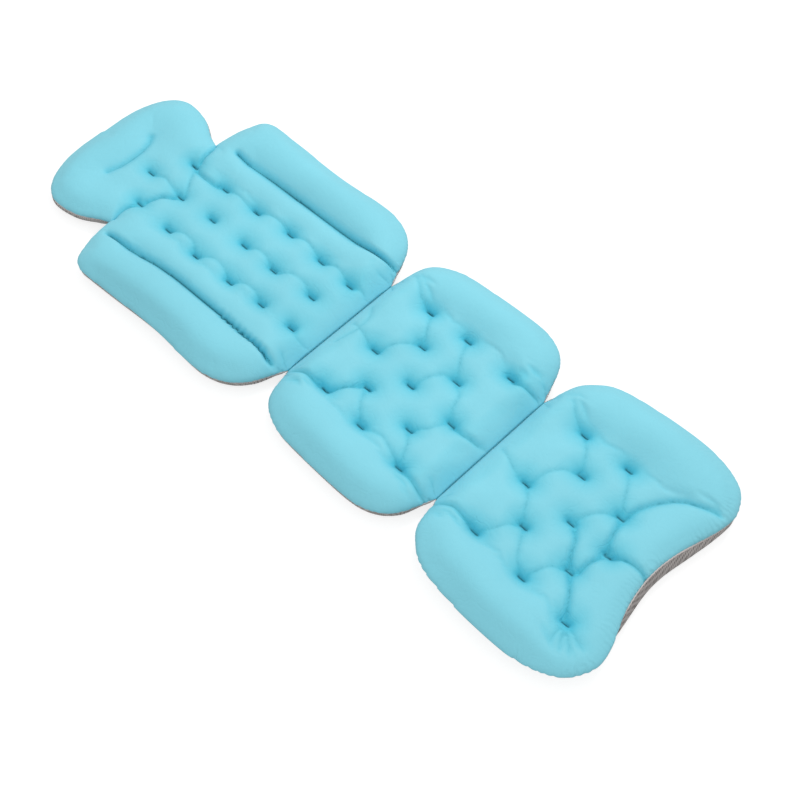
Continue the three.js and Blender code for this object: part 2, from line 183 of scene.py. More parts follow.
def soft_lamp(name, place, power):
    """A round lamp that is aimed at the middle of the mat."""
    lamp = bpy.data.lights.new(name, "AREA")
    lamp.shape = "DISK"
    lamp.size = LAMP_SIZE
    lamp.energy = power
    holder = bpy.data.objects.new(name, lamp)
    scene.collection.objects.link(holder)
    holder.location = place
    holder.rotation_euler = place.to_track_quat("Z", "Y").to_euler()


soft_lamp("key_lamp", KEY_PLACE, KEY_POWER)
soft_lamp("fill_lamp", FILL_PLACE, FILL_POWER)
print("lamps:", KEY_POWER, "and", FILL_POWER, "W, sky", SKY_STRENGTH)

# %% [markdown]
# The floor is matte and pale. It adds a little light of its own, for the camera only,
# so that it reads white in the picture but keeps the mat's soft shadow.

# %% Floor
FLOOR_HALF_SIDE = 6
FLOOR_OWN_LIGHT = 0.76
FLOOR_COLOUR = (0.42, 0.42, 0.42, 1)

floor_mesh = bpy.data.meshes.new("floor")
corners = [(x * FLOOR_HALF_SIDE, y * FLOOR_HALF_SIDE, 0) for x, y in ((-1, -1), (1, -1), (1, 1), (-1, 1))]
floor_mesh.from_pydata(corners, [], [(0, 1, 2, 3)])
floor = bpy.data.objects.new("floor", floor_mesh)
scene.collection.objects.link(floor)
floor_material, tree = new_material("pale_floor")
path = node(tree, "ShaderNodeLightPath").outputs
glow_strength = value_of(tree, "MULTIPLY", path["Is Camera Ray"], FLOOR_OWN_LIGHT)
glow = node(tree, "ShaderNodeEmission", {"Color": WHITE, "Strength": glow_strength})
matte = node(tree, "ShaderNodeBsdfDiffuse", {"Color": FLOOR_COLOUR})
both = node(tree, "ShaderNodeAddShader", {0: glow.outputs[0], 1: matte.outputs[0]})
node(tree, "ShaderNodeOutputMaterial", {"Surface": both.outputs[0]})
floor_mesh.materials.append(floor_material)
floor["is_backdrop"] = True
print("floor of", 2 * FLOOR_HALF_SIDE, "m a side")

# %% [markdown]
# Cloth looks right only when its outline is right, so the outline of each panel is read from its CAD cover.
# Its rim is a ring of points at the cover's lowest level. Sorted round the panel, they make the free edge:
# one line round the head or the foot, and a line on each side of the back and the seat.

# %% The free edges of a panel
RIM_LEVEL = 0.02 * MM
RIM_DIGITS = 5
SEAM_REACH = 4 * MM
EDGE_STEP = 1.5 * MM


def rim_of(cad_node):
    """The places in plan of a cover's lowest points."""
    points = np.array([v.co[:] for v in frame["nodes"][cad_node].data.vertices])
    level = points[:, 2].min() + RIM_LEVEL
    return np.unique(np.round(points[points[:, 2] < level][:, :2], RIM_DIGITS), axis=0)


def free_edge(cad_node, low_seam, high_seam):
    """The left free edge in plan from head to feet, or round the free end from left to right."""
    rim = rim_of(cad_node)
    for seam in (low_seam, high_seam):
        if seam is not None:
            on_seam = np.abs(rim[:, 0] - seam) < SEAM_REACH
            end = on_seam & (np.abs(rim[:, 1]) > np.abs(rim[on_seam, 1]).max() - RIM_LEVEL)
            rim[end, 0] = seam
            rim = rim[~on_seam | end]
    away = rim - rim.mean(0)
    turn = np.arctan2(away[:, 1], away[:, 0])
    if high_seam is None:
        return rim[np.argsort(-turn)]
    if low_seam is None:
        return rim[np.argsort(turn % (2 * math.pi))]
    left = rim[:, 1] > 0
    return rim[left][np.argsort(-turn[left])]


def length_along(points):
    """How far along a line each of its points is."""
    return np.concatenate([[0], np.cumsum(np.linalg.norm(np.diff(points, axis=0), axis=1))])


def smooth_line(points, step):
    """Even steps along a smooth curve through the points."""
    chord = length_along(points)
    slope = np.gradient(points, chord, axis=0) if len(points) > 2 else np.diff(points, axis=0) / chord[-1]
    slope = np.broadcast_to(slope, points.shape)
    along = np.linspace(0, chord[-1], max(2, round(chord[-1] / step)) + 1)
    k = np.clip(np.searchsorted(chord, along) - 1, 0, len(chord) - 2)
    h = (chord[k + 1] - chord[k])[:, None]
    u = (along - chord[k])[:, None] / h
    start, end = points[k], points[k + 1]
    return (
        (1 + 2 * u) * (1 - u) ** 2 * start
        + u * (1 - u) ** 2 * h * slope[k]
        + u * u * (3 - 2 * u) * end
        + u * u * (u - 1) * h * slope[k + 1]
    )


def mirrored(line):
    """The same edge on the mat's other side, still clockwise."""
    return line[::-1] * (1, -1)


# %% [markdown]
# All lines run clockwise, seen from above. The panels stop a hair short of each fold's axis,
# so that two panels never touch there and no gap opens when the mat is folded.

# %% The edge lines of the four panels
head_edge = smooth_line(free_edge("head_cover", None, NECK_X), EDGE_STEP)[::-1]
back_edge = smooth_line(free_edge("back_cover", NECK_X, BACK_SEAM_X), EDGE_STEP)
seat_edge = smooth_line(free_edge("seat_cover", BACK_SEAM_X, LEG_SEAM_X), EDGE_STEP)
leg_edge = smooth_line(free_edge("leg_cover", LEG_SEAM_X, None), EDGE_STEP)


def short_of(line, low, high):
    """The line with its ends pulled back to just short of the folds."""
    line = line.copy()
    if low is not None:
        line[:, 0] = np.maximum(line[:, 0], low + SEAM_HALF_GAP)
    if high is not None:
        line[:, 0] = np.minimum(line[:, 0], high - SEAM_HALF_GAP)
    return line


back_side = short_of(back_edge, NECK_X, BACK_SEAM_X)
seat_side = short_of(seat_edge, BACK_SEAM_X, LEG_SEAM_X)
edges_of = {
    "head": [short_of(head_edge, None, NECK_X)],
    "back": [back_side, mirrored(back_side)],
    "seat": [seat_side, mirrored(seat_side)],
    "leg": [short_of(leg_edge, LEG_SEAM_X, None)],
}
folds_of = {
    "head": (None, NECK_X),
    "back": (NECK_X, BACK_SEAM_X),
    "seat": (BACK_SEAM_X, LEG_SEAM_X),
    "leg": (LEG_SEAM_X, None),
}
for name, lines in edges_of.items():
    print(name, "edge of", [len(line) for line in lines], "points from", lines[0][0].round(3))

# %% [markdown]
# The cover is one piece of cloth for head and back, and one each for seat and leg.
# For a cloth simulation its mesh has to be even: square cells of about 4 mm all over.
# So a square grid fills the panel, one ring of cells joins it to the outline,
# and points near each sewn line move onto it. The cells near both are then relaxed.

# %% Distances in plan
BATCH = 1500


def nearest(points, line):
    """Distance to a line of points, the nearest place on it, and how far along it that is."""
    start, step = line[:-1], np.diff(line, axis=0)
    length = np.linalg.norm(step, axis=1)
    before = length_along(line)
    found = []
    for part in np.array_split(points, max(1, len(points) // BATCH)):
        share = ((part[:, None] - start) * step).sum(2) / (length**2)
        share = np.clip(share, 0, 1)
        place = start + share[..., None] * step
        away = np.linalg.norm(place - part[:, None], axis=2)
        best = away.argmin(1)
        row = np.arange(len(part))
        found.append(np.column_stack([
            away[row, best], place[row, best], before[best] + share[row, best] * length[best],
        ]))
    found = np.vstack(found)
    return found[:, 0], found[:, 1:3], found[:, 3]


def to_edges(points, edges):
    """The distance to the nearest of several lines, the nearest place, and how far along its line that is."""
    away = np.full(len(points), np.inf)
    place, along = np.zeros((len(points), 2)), np.zeros(len(points))
    for edge in edges:
        found, at, passed = nearest(points, edge)
        closer = found < away
        away[closer], place[closer], along[closer] = found[closer], at[closer], passed[closer]
    return away, place, along


def inside(points, outline):
    """Even-odd rule: which points lie inside a closed outline."""
    odd = np.zeros(len(points), bool)
    for (ax, ay), (bx, by) in zip(outline[:-1], outline[1:]):
        if ay != by:
            crosses = (points[:, 1] > min(ay, by)) & (points[:, 1] <= max(ay, by))
            odd ^= crosses & (points[:, 0] < ax + (points[:, 1] - ay) * (bx - ax) / (by - ay))
    return odd


def closed(*lines):
    """Lines that follow each other clockwise as one closed outline that turns the other way."""
    ring = np.vstack(lines)[::-1]
    return np.vstack([ring, ring[:1]])


# %% [markdown]
# The grid is cut from a square lattice, so its cells are alike everywhere.
# Only the last ring of cells bends to the outline, and the corners of the outline keep a point each.

# %% An even grid inside an outline
CELL = 4 * MM
INNER_MARGIN_SHARE = 0.8
SNAP_SHARE = 0.75
RELAX_REACH = 3 * CELL
LINE_REACH = 2 * CELL
RELAX_ROUNDS = 12
RING_ROUNDS = 10


def loop_of(quads):
    """The points round the rim of a patch of squares, in order."""
    edges = {(q[k], q[(k + 1) % 4]) for q in quads for k in range(4)}
    follow = {a: b for a, b in edges if (b, a) not in edges}
    loop = [min(follow)]
    while follow[loop[-1]] != loop[0]:
        loop.append(follow[loop[-1]])
    return loop


def even_grid(outline, corners, lines):
    """Points in plan and squares between them, with the outer ring's and the sewn lines' points."""
    low, high = outline.min(0), outline.max(0)
    across = np.arange(math.floor(low[1] / CELL), math.ceil(high[1] / CELL) + 1) * CELL
    along = np.arange(low[0], high[0] + CELL, CELL)
    grid = np.array([(x, y) for x in along for y in across])
    away = nearest(grid, outline)[0]
    keep = (inside(grid, outline) & (away > INNER_MARGIN_SHARE * CELL)).reshape(len(along), len(across))
    index = np.arange(keep.size).reshape(keep.shape)
    full = keep[:-1, :-1] & keep[1:, :-1] & keep[1:, 1:] & keep[:-1, 1:]
    quads = np.stack([
        index[:-1, :-1][full], index[1:, :-1][full], index[1:, 1:][full], index[:-1, 1:][full],
    ], 1)
    used, quads = np.unique(quads, return_inverse=True)
    quads = quads.reshape(-1, 4)
    points = grid[used]
    loop = np.array(loop_of(quads.tolist()))

    around = outline_places(points[loop], outline, corners)
    ring = len(points) + np.arange(len(loop))
    points = np.vstack([points, around])
    after = np.roll(np.arange(len(loop)), -1)
    rim_quads = np.stack([loop, ring, ring[after], loop[after]], 1)
    quads = np.vstack([quads, rim_quads])
    return relax(points, quads, ring, outline, lines)


def outline_places(inner, outline, corners):
    """For each point of the inner loop its place on the outline, evenly spread, with the corners kept."""
    chord = length_along(outline)
    total = chord[-1]
    place = np.unwrap(nearest(inner, outline)[2], period=total)
    fixed = np.zeros(len(place), bool)
    for corner in corners:
        target = nearest(np.array([corner]), outline)[2][0]
        gap = (place - target + total / 2) % total - total / 2
        k = np.abs(gap).argmin()
        place[k] -= gap[k]
        fixed[k] = True
    for _ in range(RING_ROUNDS):
        before = np.concatenate([[place[-1] - total], place[:-1]])
        after = np.concatenate([place[1:], [place[0] + total]])
        place = np.where(fixed, place, (before + 2 * place + after) / 4)
    return np.column_stack([np.interp(place % total, chord, outline[:, k]) for k in (0, 1)])


def relax(points, quads, ring, outline, lines):
    """Moves a point onto each stop of the sewn lines and evens out the cells round them."""
    on_line = np.full(len(points), -1)
    near_line = np.zeros(len(points), bool)
    inner = np.ones(len(points), bool)
    inner[ring] = False
    for k, line in enumerate(lines):
        near_line |= nearest(points, line)[0] < LINE_REACH
        for stop in smooth_line(line, CELL):
            away = np.where(inner & (on_line < 0), np.linalg.norm(points - stop, axis=1), np.inf)
            best = away.argmin()
            if away[best] < SNAP_SHARE * CELL:
                points[best] = stop
                on_line[best] = k
    loose = inner & (on_line < 0) & (near_line | (nearest(points, outline)[0] < RELAX_REACH))
    edges = np.vstack([quads[:, [k, (k + 1) % 4]] for k in range(4)])
    edges = np.unique(np.sort(edges, 1), axis=0)
    count = np.bincount(edges.ravel(), minlength=len(points))[:, None]
    for _ in range(RELAX_ROUNDS):
        total = np.zeros_like(points)
        np.add.at(total, edges[:, 0], points[edges[:, 1]])
        np.add.at(total, edges[:, 1], points[edges[:, 0]])
        points = np.where(loose[:, None], total / count, points)
    return points, quads, ring, on_line


# %% [markdown]
# Sewn features in plan, in millimetres. A tuft is a short sewn bar along the mat,
# a channel is a long sewn line beside each bolster of the back, the leg pad has one dip that no bar closes,
# and a fold is a crease that two tufts, or a tuft and a seam, pull into the cover between them.

# %% Tufts
TUFT_HALF_LENGTH = 6 * MM

back_tufts = [
    (-451, 58), (-376, 59), (-302, 62), (-228, 68), (-151, 64), (-82, 61),
    (-494, -2), (-417, -4), (-343, 0), (-265, 0), (-194, -2), (-110, 3),
    (-455, -61), (-380, -65), (-307, -70), (-228, -68), (-158, -63), (-89, -62),
]
seat_tufts = [
    (48, 114), (129, 115), (226, 109), (85, 57), (170, 46), (36, 0), (123, -9), (216, -16),
    (78, -58), (177, -68), (32, -106), (119, -115), (214, -128),
]
leg_tufts = [
    (376, 111), (464, 111), (420, 54), (508, 40), (369, -14), (462, -18),
    (415, -71), (513, -80), (370, -128), (470, -136), (564, -147),
]
leg_dip = (536, -22)
print("tufts:", len(back_tufts) + len(seat_tufts) + len(leg_tufts))


def bars(tufts):
    """A short straight line for each tuft."""
    return [np.array([(x * MM - TUFT_HALF_LENGTH, y * MM), (x * MM + TUFT_HALF_LENGTH, y * MM)])
            for x, y in tufts]


# %% [markdown]
# Folds run in thin arcs that bulge towards the head. Deep ones stay sharp over their whole length,
# light ones hardly show. Each is given by a few places in plan, from tuft to tuft.

# %% Channels and folds
def line_of(*points):
    """Places or sizes that are given in millimetres."""
    return np.array(points) * MM


RUCHE_START = -190 * MM
RUCHE_PITCH = 13 * MM
RUCHE_DEPTH = 1.6 * MM


def ruched(line):
    """The line in small scallops from a place on: the thread is pulled tight there."""
    line = smooth_line(line, CELL / 2)
    waves = np.sin(2 * math.pi * (line[:, 0] - RUCHE_START) / RUCHE_PITCH)
    line[:, 1] += np.where(line[:, 0] > RUCHE_START, RUCHE_DEPTH * waves, 0)
    return line


back_channels = [
    line_of((-413, 123), (-388, 122), (-330, 125), (-265, 126), (-165, 128), (-100, 132), (-56, 135)),
    ruched(line_of(
        (-434, -142), (-406, -140), (-371, -135), (-337, -129), (-222, -125), (-101, -128), (-68, -131))),
]
upper_folds = {
    "deep": [
        line_of((-551, 49), (-543, 37), (-538, 19), (-537, -4), (-539, -31), (-546, -55)),
        line_of((-454, 110), (-451, 94), (-449, 78), (-447, 68)),
        line_of((-457, -112), (-462, -98), (-460, -82), (-456, -71)),
        line_of((-449, -53), (-437, -26), (-424, -16), (-421, -11)),
        line_of((-440, 52), (-416, 49), (-394, 51), (-386, 56)),
    ],
    "light": [
        line_of((-366, 61), (-346, 63), (-322, 60), (-310, 61)),
        line_of((-412, 1), (-419, 13), (-430, 31), (-440, 48)),
        line_of((-482, -2), (-465, 4), (-444, 0), (-427, -4)),
        line_of((-73, 63), (-57, 67), (-45, 63)),
        line_of((-81, -65), (-63, -73), (-47, -68)),
        line_of((-371, -61), (-349, -54), (-327, -56), (-316, -64)),
        line_of((-297, -66), (-279, -56), (-254, -57), (-238, -63)),
        line_of((-219, -63), (-201, -55), (-181, -54), (-167, -59)),
        line_of((-293, 66), (-273, 71), (-251, 72), (-237, 70)),
        line_of((-219, 69), (-195, 73), (-175, 70), (-161, 66)),
        line_of((-143, 64), (-123, 70), (-103, 67), (-91, 63)),
        line_of((-256, -3), (-241, 7), (-217, 6), (-203, 0)),
        line_of((-184, -4), (-164, 10), (-136, 12), (-119, 5)),
    ],
}
seat_folds = {
    "deep": [
        line_of((-32, -115), (-5, -111), (23, -109)),
        line_of((41, -103), (54, -84), (69, -65)),
        line_of((224, -19), (246, -21), (270, -15), (284, -5)),
        line_of((234, 105), (255, 108), (278, 110), (286, 110)),
        line_of((223, -131), (254, -136), (275, -136), (284, -134)),
    ],
    "light": [
        line_of((28, -3), (12, 4), (-6, 9), (-24, 13)),
        line_of((44, 3), (50, 20), (65, 41), (77, 53)),
        line_of((40, 115), (21, 120), (-7, 142)),
        line_of((81, 65), (71, 81), (57, 105)),
        line_of((134, 106), (147, 78), (163, 54)),
        line_of((81, -67), (92, -88), (111, -109)),
        line_of((128, -2), (135, 18), (148, 39), (161, 44)),
        line_of((127, -116), (161, -109), (190, -119), (206, -125)),
        line_of((184, -63), (200, -50), (210, -25)),
        line_of((182, -75), (197, -93), (209, -119)),
        line_of((176, 38), (193, 26), (203, -2), (210, -11)),
        line_of((-25, 56), (-11, 36), (-8, 6), (-18, -34)),
    ],
}
leg_folds = {
    "deep": [
        line_of((294, -129), (321, -124), (352, -126), (361, -128)),
        line_of((475, -26), (487, -38), (499, -63), (508, -75)),
        line_of((514, 33), (520, 9), (527, -11), (533, -17)),
        line_of((515, 46), (520, 65), (534, 92), (549, 111), (565, 122), (585, 129), (605, 140)),
        line_of((525, -73), (526, -54), (532, -31)),
        line_of((545, -21), (557, -16), (578, -13), (592, -13), (602, -16)),
        line_of((519, -87), (538, -109), (553, -132), (558, -140)),
    ],
    "light": [
        line_of((376, -121), (388, -107), (398, -87), (409, -76)),
        line_of((360, -16), (339, -11), (319, -2), (303, 5)),
        line_of((375, -21), (391, -37), (401, -55), (410, -66)),
        line_of((375, -7), (381, 18), (394, 39), (412, 51)),
        line_of((382, 105), (398, 88), (414, 61)),
        line_of((366, 113), (347, 122), (328, 138)),
        line_of((469, 104), (483, 84), (495, 62), (505, 47)),
        line_of((465, -10), (473, 6), (486, 24), (503, 37)),
        line_of((420, -76), (434, -102), (448, -122), (462, -132)),
        line_of((474, -129), (482, -111), (490, -95), (505, -85)),
    ],
}

# %% [markdown]
# Pleats fan out from the ends of the two lower seams, where the cloth is gathered into the corner,
# and from the dip in the foot's right lobe. Each is a short light fold.

# %% Pleats
PLEAT_STOP_SHARES = (0.35, 0.7, 1)
PLEAT_REACH = 24 * MM
LOBE_PLEAT_REACH = 38 * MM
LOBE_CORNER = (564 * MM, -147 * MM)
LOBE_HEADINGS = (-84, -62, -44, -22)


def pleats(corner, headings, reach):
    """Short folds that fan out from a corner, given by their headings in degrees."""
    made = []
    for heading in headings:
        way = np.array([math.cos(math.radians(heading)), math.sin(math.radians(heading))])
        made.append(np.array([np.array(corner) + share * reach * way for share in PLEAT_STOP_SHARES]))
    return made


half_width_at = {
    NECK_X: abs(back_edge[0][1]),
    BACK_SEAM_X: abs(seat_edge[0][1]),
    LEG_SEAM_X: abs(leg_edge[0][1]),
}
leg_folds["light"] += pleats(LOBE_CORNER, LOBE_HEADINGS, LOBE_PLEAT_REACH)
for side in (-1, 1):
    for folds, seam, headings in (
        (upper_folds, BACK_SEAM_X, (155, -160)),
        (seat_folds, BACK_SEAM_X, (25, -40)),
        (seat_folds, LEG_SEAM_X, (150, -155)),
        (leg_folds, LEG_SEAM_X, (30, -35)),
    ):
        corner = (seam, side * half_width_at[seam])
        folds["light"] += pleats(corner, [side * heading for heading in headings], PLEAT_REACH)
print("folds:", {name: len(folds["deep"]) + len(folds["light"]) for name, folds in (
    ("upper", upper_folds), ("seat", seat_folds), ("leg", leg_folds))})

# %% [markdown]
# The pad's height over its outline: a quarter of an ellipse in from a free edge,
# a quarter of a sine in from a fold, and dips at the tufts and along the sewn lines.
# This is the shape that the simulation starts from.

# %% The pad's form
PAD_RISE = 31 * MM
FIELD_DROP = 6 * MM
EDGE_REACH = 42 * MM
FOLD_REACH = 40 * MM
SWELL_REACH = 27 * MM
SWELL_DEPTH_SHARE = 0.21
TUFT_REACH = 10 * MM
TUFT_DEPTH_SHARE = 0.26
SLIT_REACH = 4 * MM
SLIT_DEPTH = 7 * MM
CHANNEL_REACH = 4 * MM
CHANNEL_DEPTH_SHARE = 0.5
CREASE_REACHES = {"deep": 4.5 * MM, "light": 3.5 * MM}
CREASE_DEPTHS = {"deep": 8 * MM, "light": 3.5 * MM}
ROLL_WIDTH = 36 * MM
FIELD_START = 84 * MM
FOOT_RISE = 19 * MM
FOOT_RISE_HALF_WIDTH = 185 * MM
FOOT_RISE_LENGTH = 60 * MM
FOOT_RISE_STEEPNESS = 1.3
FULLNESS_X = (-627 * MM, -520 * MM, -400 * MM, -200 * MM, 0, 627 * MM)
FULLNESS_SHARES = (0.66, 0.72, 0.9, 1.05, 1.12, 1.12)
foot_end_x = leg_edge[:, 0].max()


def fullness(x):
    """How full a pad is along the mat: the head is thin, the seat and the leg pad are plump."""
    return np.interp(x, FULLNESS_X, FULLNESS_SHARES)


def eased(share):
    """From 0 to 1 with a soft start and a soft end."""
    return share * share * (3 - 2 * share)


def round_over(distance, reach):
    """A quarter of an ellipse: 0 at an edge, 1 past the reach."""
    left = 1 - np.clip(distance / reach, 0, 1)
    return np.sqrt(1 - left**2)


def fold_over(distance, reach):
    """A quarter of a sine: 0 at a fold, 1 past the reach."""
    return np.sin(math.pi / 2 * np.clip(distance / reach, 0, 1))


def folded_down(x, low, high, reach):
    """The share of its height that a panel has near its folds: none at a fold, all past its reach."""
    share = np.ones(len(x))
    if low is not None:
        share = share * fold_over(x - low, reach)
    if high is not None:
        share = share * fold_over(high - x, reach)
    return share


def foot_share(places):
    """1 in the middle of the foot, where the base's wall is high, falling to 0 at the foot's two lobes."""
    across = FOOT_RISE_STEEPNESS - FOOT_RISE_STEEPNESS * np.abs(places[:, 1]) / FOOT_RISE_HALF_WIDTH
    near_foot = np.clip(1 - (foot_end_x - places[:, 0]) / FOOT_RISE_LENGTH, 0, 1)
    return eased(np.clip(across, 0, 1)) * np.minimum(1, 2 * near_foot)


def edge_height(places):
    """Height of the cover's edge. It is the seams' height, but lifts in the middle of the foot."""
    return SEAM_Z + FOOT_RISE * foot_share(places)


def bump(places, line, reach):
    """1 on the line, falling to 0 a little past the reach."""
    return np.exp(-((nearest(places, line)[0] / reach) ** 2))


def in_field(away):
    """0 on the roll round the pad, rising softly to 1 in the tufted field."""
    return eased(np.clip((away - ROLL_WIDTH) / (FIELD_START - ROLL_WIDTH), 0, 1))


def crown_height(places, away, at_edge, low, high):
    """Height of the cover without anything sewn into it: a roll round a slightly lower middle."""
    crown = round_over(away, EDGE_REACH) * folded_down(places[:, 0], low, high, FOLD_REACH)
    rise = (PAD_RISE - FIELD_DROP * in_field(away)) * fullness(places[:, 0])
    foot = edge_height(at_edge)
    return foot + (SEAM_Z + rise - foot) * crown


# %% [markdown]
# The rim of a pad is steep, so cells that are even in plan would be long on its flank.
# The points near a free edge therefore crowd outwards, which makes the cloth even on the flank too.

# %% Crowding points towards the rim
CROWD_REACH = 30 * MM
CROWD_POWER = 1.6
BULGE_X = line_of(-627, -500, -400, -200, -60, 0, 270, 320, 627)
LEFT_BULGE = line_of(3, 4, 10, 16, 15, 14, 14, 12, 12)
RIGHT_BULGE = line_of(6, 9, 13, 16, 15, 14, 15, 26, 32)
BULGE_REACH = 36 * MM
BULGE_START = 5 * MM
BULGE_FADE_POWER = 1.5
LEAST = 1e-6
TINY = 1e-9


def crowded(points, away, at_edge, held):
    """The points moved towards the edge, but for those that are held on a sewn line."""
    share = np.clip(away / CROWD_REACH, LEAST, 1)
    closer = CROWD_REACH * share**CROWD_POWER / np.maximum(away, TINY)
    factor = np.where((share < 1) & ~held, closer, 1)[:, None]
    return at_edge + (points - at_edge) * factor


def bulged(points, away, at_edge, low, high):
    """The flank leans out over the edge, as a full roll does."""
    lean = round_over(away, BULGE_START) * np.clip(1 - away / BULGE_REACH, 0, 1) ** BULGE_FADE_POWER
    lean *= folded_down(points[:, 0], low, high, FOLD_REACH) * (1 - foot_share(at_edge))
    left, right = (np.interp(points[:, 0], BULGE_X, bulge) for bulge in (LEFT_BULGE, RIGHT_BULGE))
    lean *= np.where(points[:, 1] > 0, left, right)
    outward = (at_edge - points) / np.maximum(away, TINY)[:, None]
    return points + outward * lean[:, None]


# %% [markdown]
# The cloth itself: the grid is held at its outline and along everything that is sewn,
# and air pressure lifts and stretches it between them.
# The swelling cloth finds its own small folds between the tufts, as over the filling of the real mat.

# %% Blowing up a cover
SWELL_FRAMES = 32
SWELL_CAP = 16 * MM
CLOTH_SETTINGS = {
    "quality": 5, "mass": 0.12, "air_damping": 1,
    "tension_stiffness": 15, "compression_stiffness": 6, "shear_stiffness": 3,
    "bending_stiffness": 0.4, "bending_damping": 0.3,
    "use_pressure": True, "uniform_pressure_force": 40,
    "vertex_group_mass": "sewn", "pin_stiffness": 1, "vertex_group_shrink": "shrunk",
}


def mesh_object(name, points, faces):
    """A new object in the scene, made of points and faces."""
    mesh = bpy.data.meshes.new(name)
    mesh.from_pydata([tuple(p) for p in points], [], [tuple(f) for f in faces])
    mesh.update()
    made = bpy.data.objects.new(name, mesh)
    scene.collection.objects.link(made)
    return made


def places_of(mesh):
    """Where a mesh's points are, one row for each."""
    flat = np.zeros(3 * len(mesh.vertices))
    mesh.vertices.foreach_get("co", flat)
    return flat.reshape(-1, 3)


def swell(cover, held, freedom):
    """Simulates the cover, held fast at some of its points, and leaves the result in its mesh.
    Freedom is the share of its movement that a point keeps, so that the rim stays as smooth as it was.
    The shrunk group stays empty, so no cloth shrinks, but without it a few small folds end up elsewhere."""
    cover.vertex_groups.new(name="sewn").add(np.flatnonzero(held).tolist(), 1, "REPLACE")
    cover.vertex_groups.new(name="shrunk")
    start = places_of(cover.data)
    cloth = cover.modifiers.new("cloth", "CLOTH")
    cloth.point_cache.frame_end = SWELL_FRAMES
    for name, value in CLOTH_SETTINGS.items():
        setattr(cloth.settings, name, value)
    cloth.settings.effector_weights.gravity = 0
    cloth.collision_settings.use_collision = False
    for step in range(1, SWELL_FRAMES + 1):
        scene.frame_set(step)
    evaluated = cover.evaluated_get(bpy.context.evaluated_depsgraph_get())
    moved = places_of(evaluated.data) - start
    far = np.linalg.norm(moved, axis=1, keepdims=True)
    end = start + moved * np.minimum(1, SWELL_CAP / np.maximum(far, TINY)) * freedom[:, None]
    cover.modifiers.remove(cloth)
    cover.vertex_groups.clear()
    cover.data.vertices.foreach_set("co", end.ravel())
    cover.data.update()
    scene.frame_set(1)
    print(cover.name, "rose from", start[:, 2].max().round(4), "to", end[:, 2].max().round(4),
          "moved at most", far.max().round(4), "middle", np.median(far).round(4))


# %% [markdown]
# Two pads that fold up by 75 degrees meet on a plane that rises steeply from the fold.
# Each cover therefore stays under a slope beside its folds, and nears it softly.

# %% Room for folding
FOLD_SLOPE = 1.25
SLOPE_SOFTNESS_SHARE = 0.12
SLOPE_SOFTNESS = 2.5 * MM


def leave_room(cover, low, high):
    """Lowers what rises above the slope beside a fold."""
    places = places_of(cover.data)
    for seam in (low, high):
        if seam is not None:
            distance = np.abs(places[:, 0] - seam)
            softness = np.clip(SLOPE_SOFTNESS_SHARE * distance, LEAST, SLOPE_SOFTNESS)
            over = places[:, 2] - SEAM_Z - FOLD_SLOPE * distance
            places[:, 2] -= softness * np.logaddexp(0, over / softness)
    cover.data.vertices.foreach_set("co", places.ravel())
    cover.data.update()


# %% [markdown]
# One function makes any of the three covers from its outline and its sewn lines.
# The sewn points keep the height that their dips give them, so the cloth rises round them.
# Each point also keeps how deep it lies, how near it is to a slit, channel or fold, and where it is from the free
# edge.
# The material reads them: it paints shade into the dips and darker shade along the creases, and the edge puckers
# between its stitches.

# %% Making a cover
STILL_REACH = 4 * MM
FREE_REACH = 20 * MM
PRESS_FACTOR = 1.5
# The depth at which a dip gets its full painted shade, then the reach and strength of painted shade along slits,
# channels and folds.
DIP_DEPTH_RANGE = 13 * MM
CREASE_SHADE_REACH = 6 * MM
CREASE_SHADE_SHARES = {"channel": 1.0, "deep": 0.74, "light": 0.6}
CREASE_SHADE_END_SHARE = 0.1
CREASE_SHADE_FADE_POWER = 0.2


def sewn_down(places, crown, bar_lines, channels, folds):
    """The crown with every tuft, channel and fold pressed into it."""
    pulled = np.zeros(len(places))
    for bar in bar_lines:
        wide, close = bump(places, bar, SWELL_REACH), bump(places, bar, TUFT_REACH)
        pulled = np.maximum(pulled, SWELL_DEPTH_SHARE * wide + TUFT_DEPTH_SHARE * close)
    for channel in channels:
        pulled = np.maximum(pulled, CHANNEL_DEPTH_SHARE * bump(places, channel, CHANNEL_REACH))
    slit = np.max([bump(places, bar, SLIT_REACH) for bar in bar_lines], axis=0)
    crease = np.zeros(len(places))
    for kind, lines in folds.items():
        for line in lines:
            crease = np.maximum(crease, CREASE_DEPTHS[kind] * bump(places, line, CREASE_REACHES[kind]))
    rise = np.clip((crown - SEAM_Z) / PAD_RISE, 0, 1)
    pressed = np.maximum(SLIT_DEPTH * slit, crease) * np.minimum(1, PRESS_FACTOR * rise)
    return SEAM_Z + (crown - SEAM_Z) * (1 - pulled) - pressed


def crease_shade_of(places, bar_lines, channels, folds):
    """Painted shade along the creases: darkest over a bar and a channel, less along a fold and at its ends.
    It falls evenly with distance, so it stays even between the points, and the material sharpens it."""
    pinch = np.max([np.clip(1 - nearest(places, bar)[0] / CREASE_SHADE_REACH, 0, 1) for bar in bar_lines], axis=0)
    for kind, lines in {"channel": channels, **folds}.items():
        for line in lines:
            away, _, along = nearest(places, line)
            way = np.clip(along / length_along(line)[-1], CREASE_SHADE_END_SHARE, 1 - CREASE_SHADE_END_SHARE)
            fade = np.sin(math.pi * way) ** CREASE_SHADE_FADE_POWER
            pinch = np.maximum(pinch, CREASE_SHADE_SHARES[kind] * fade * np.clip(1 - away / CREASE_SHADE_REACH, 0, 1))
    return pinch


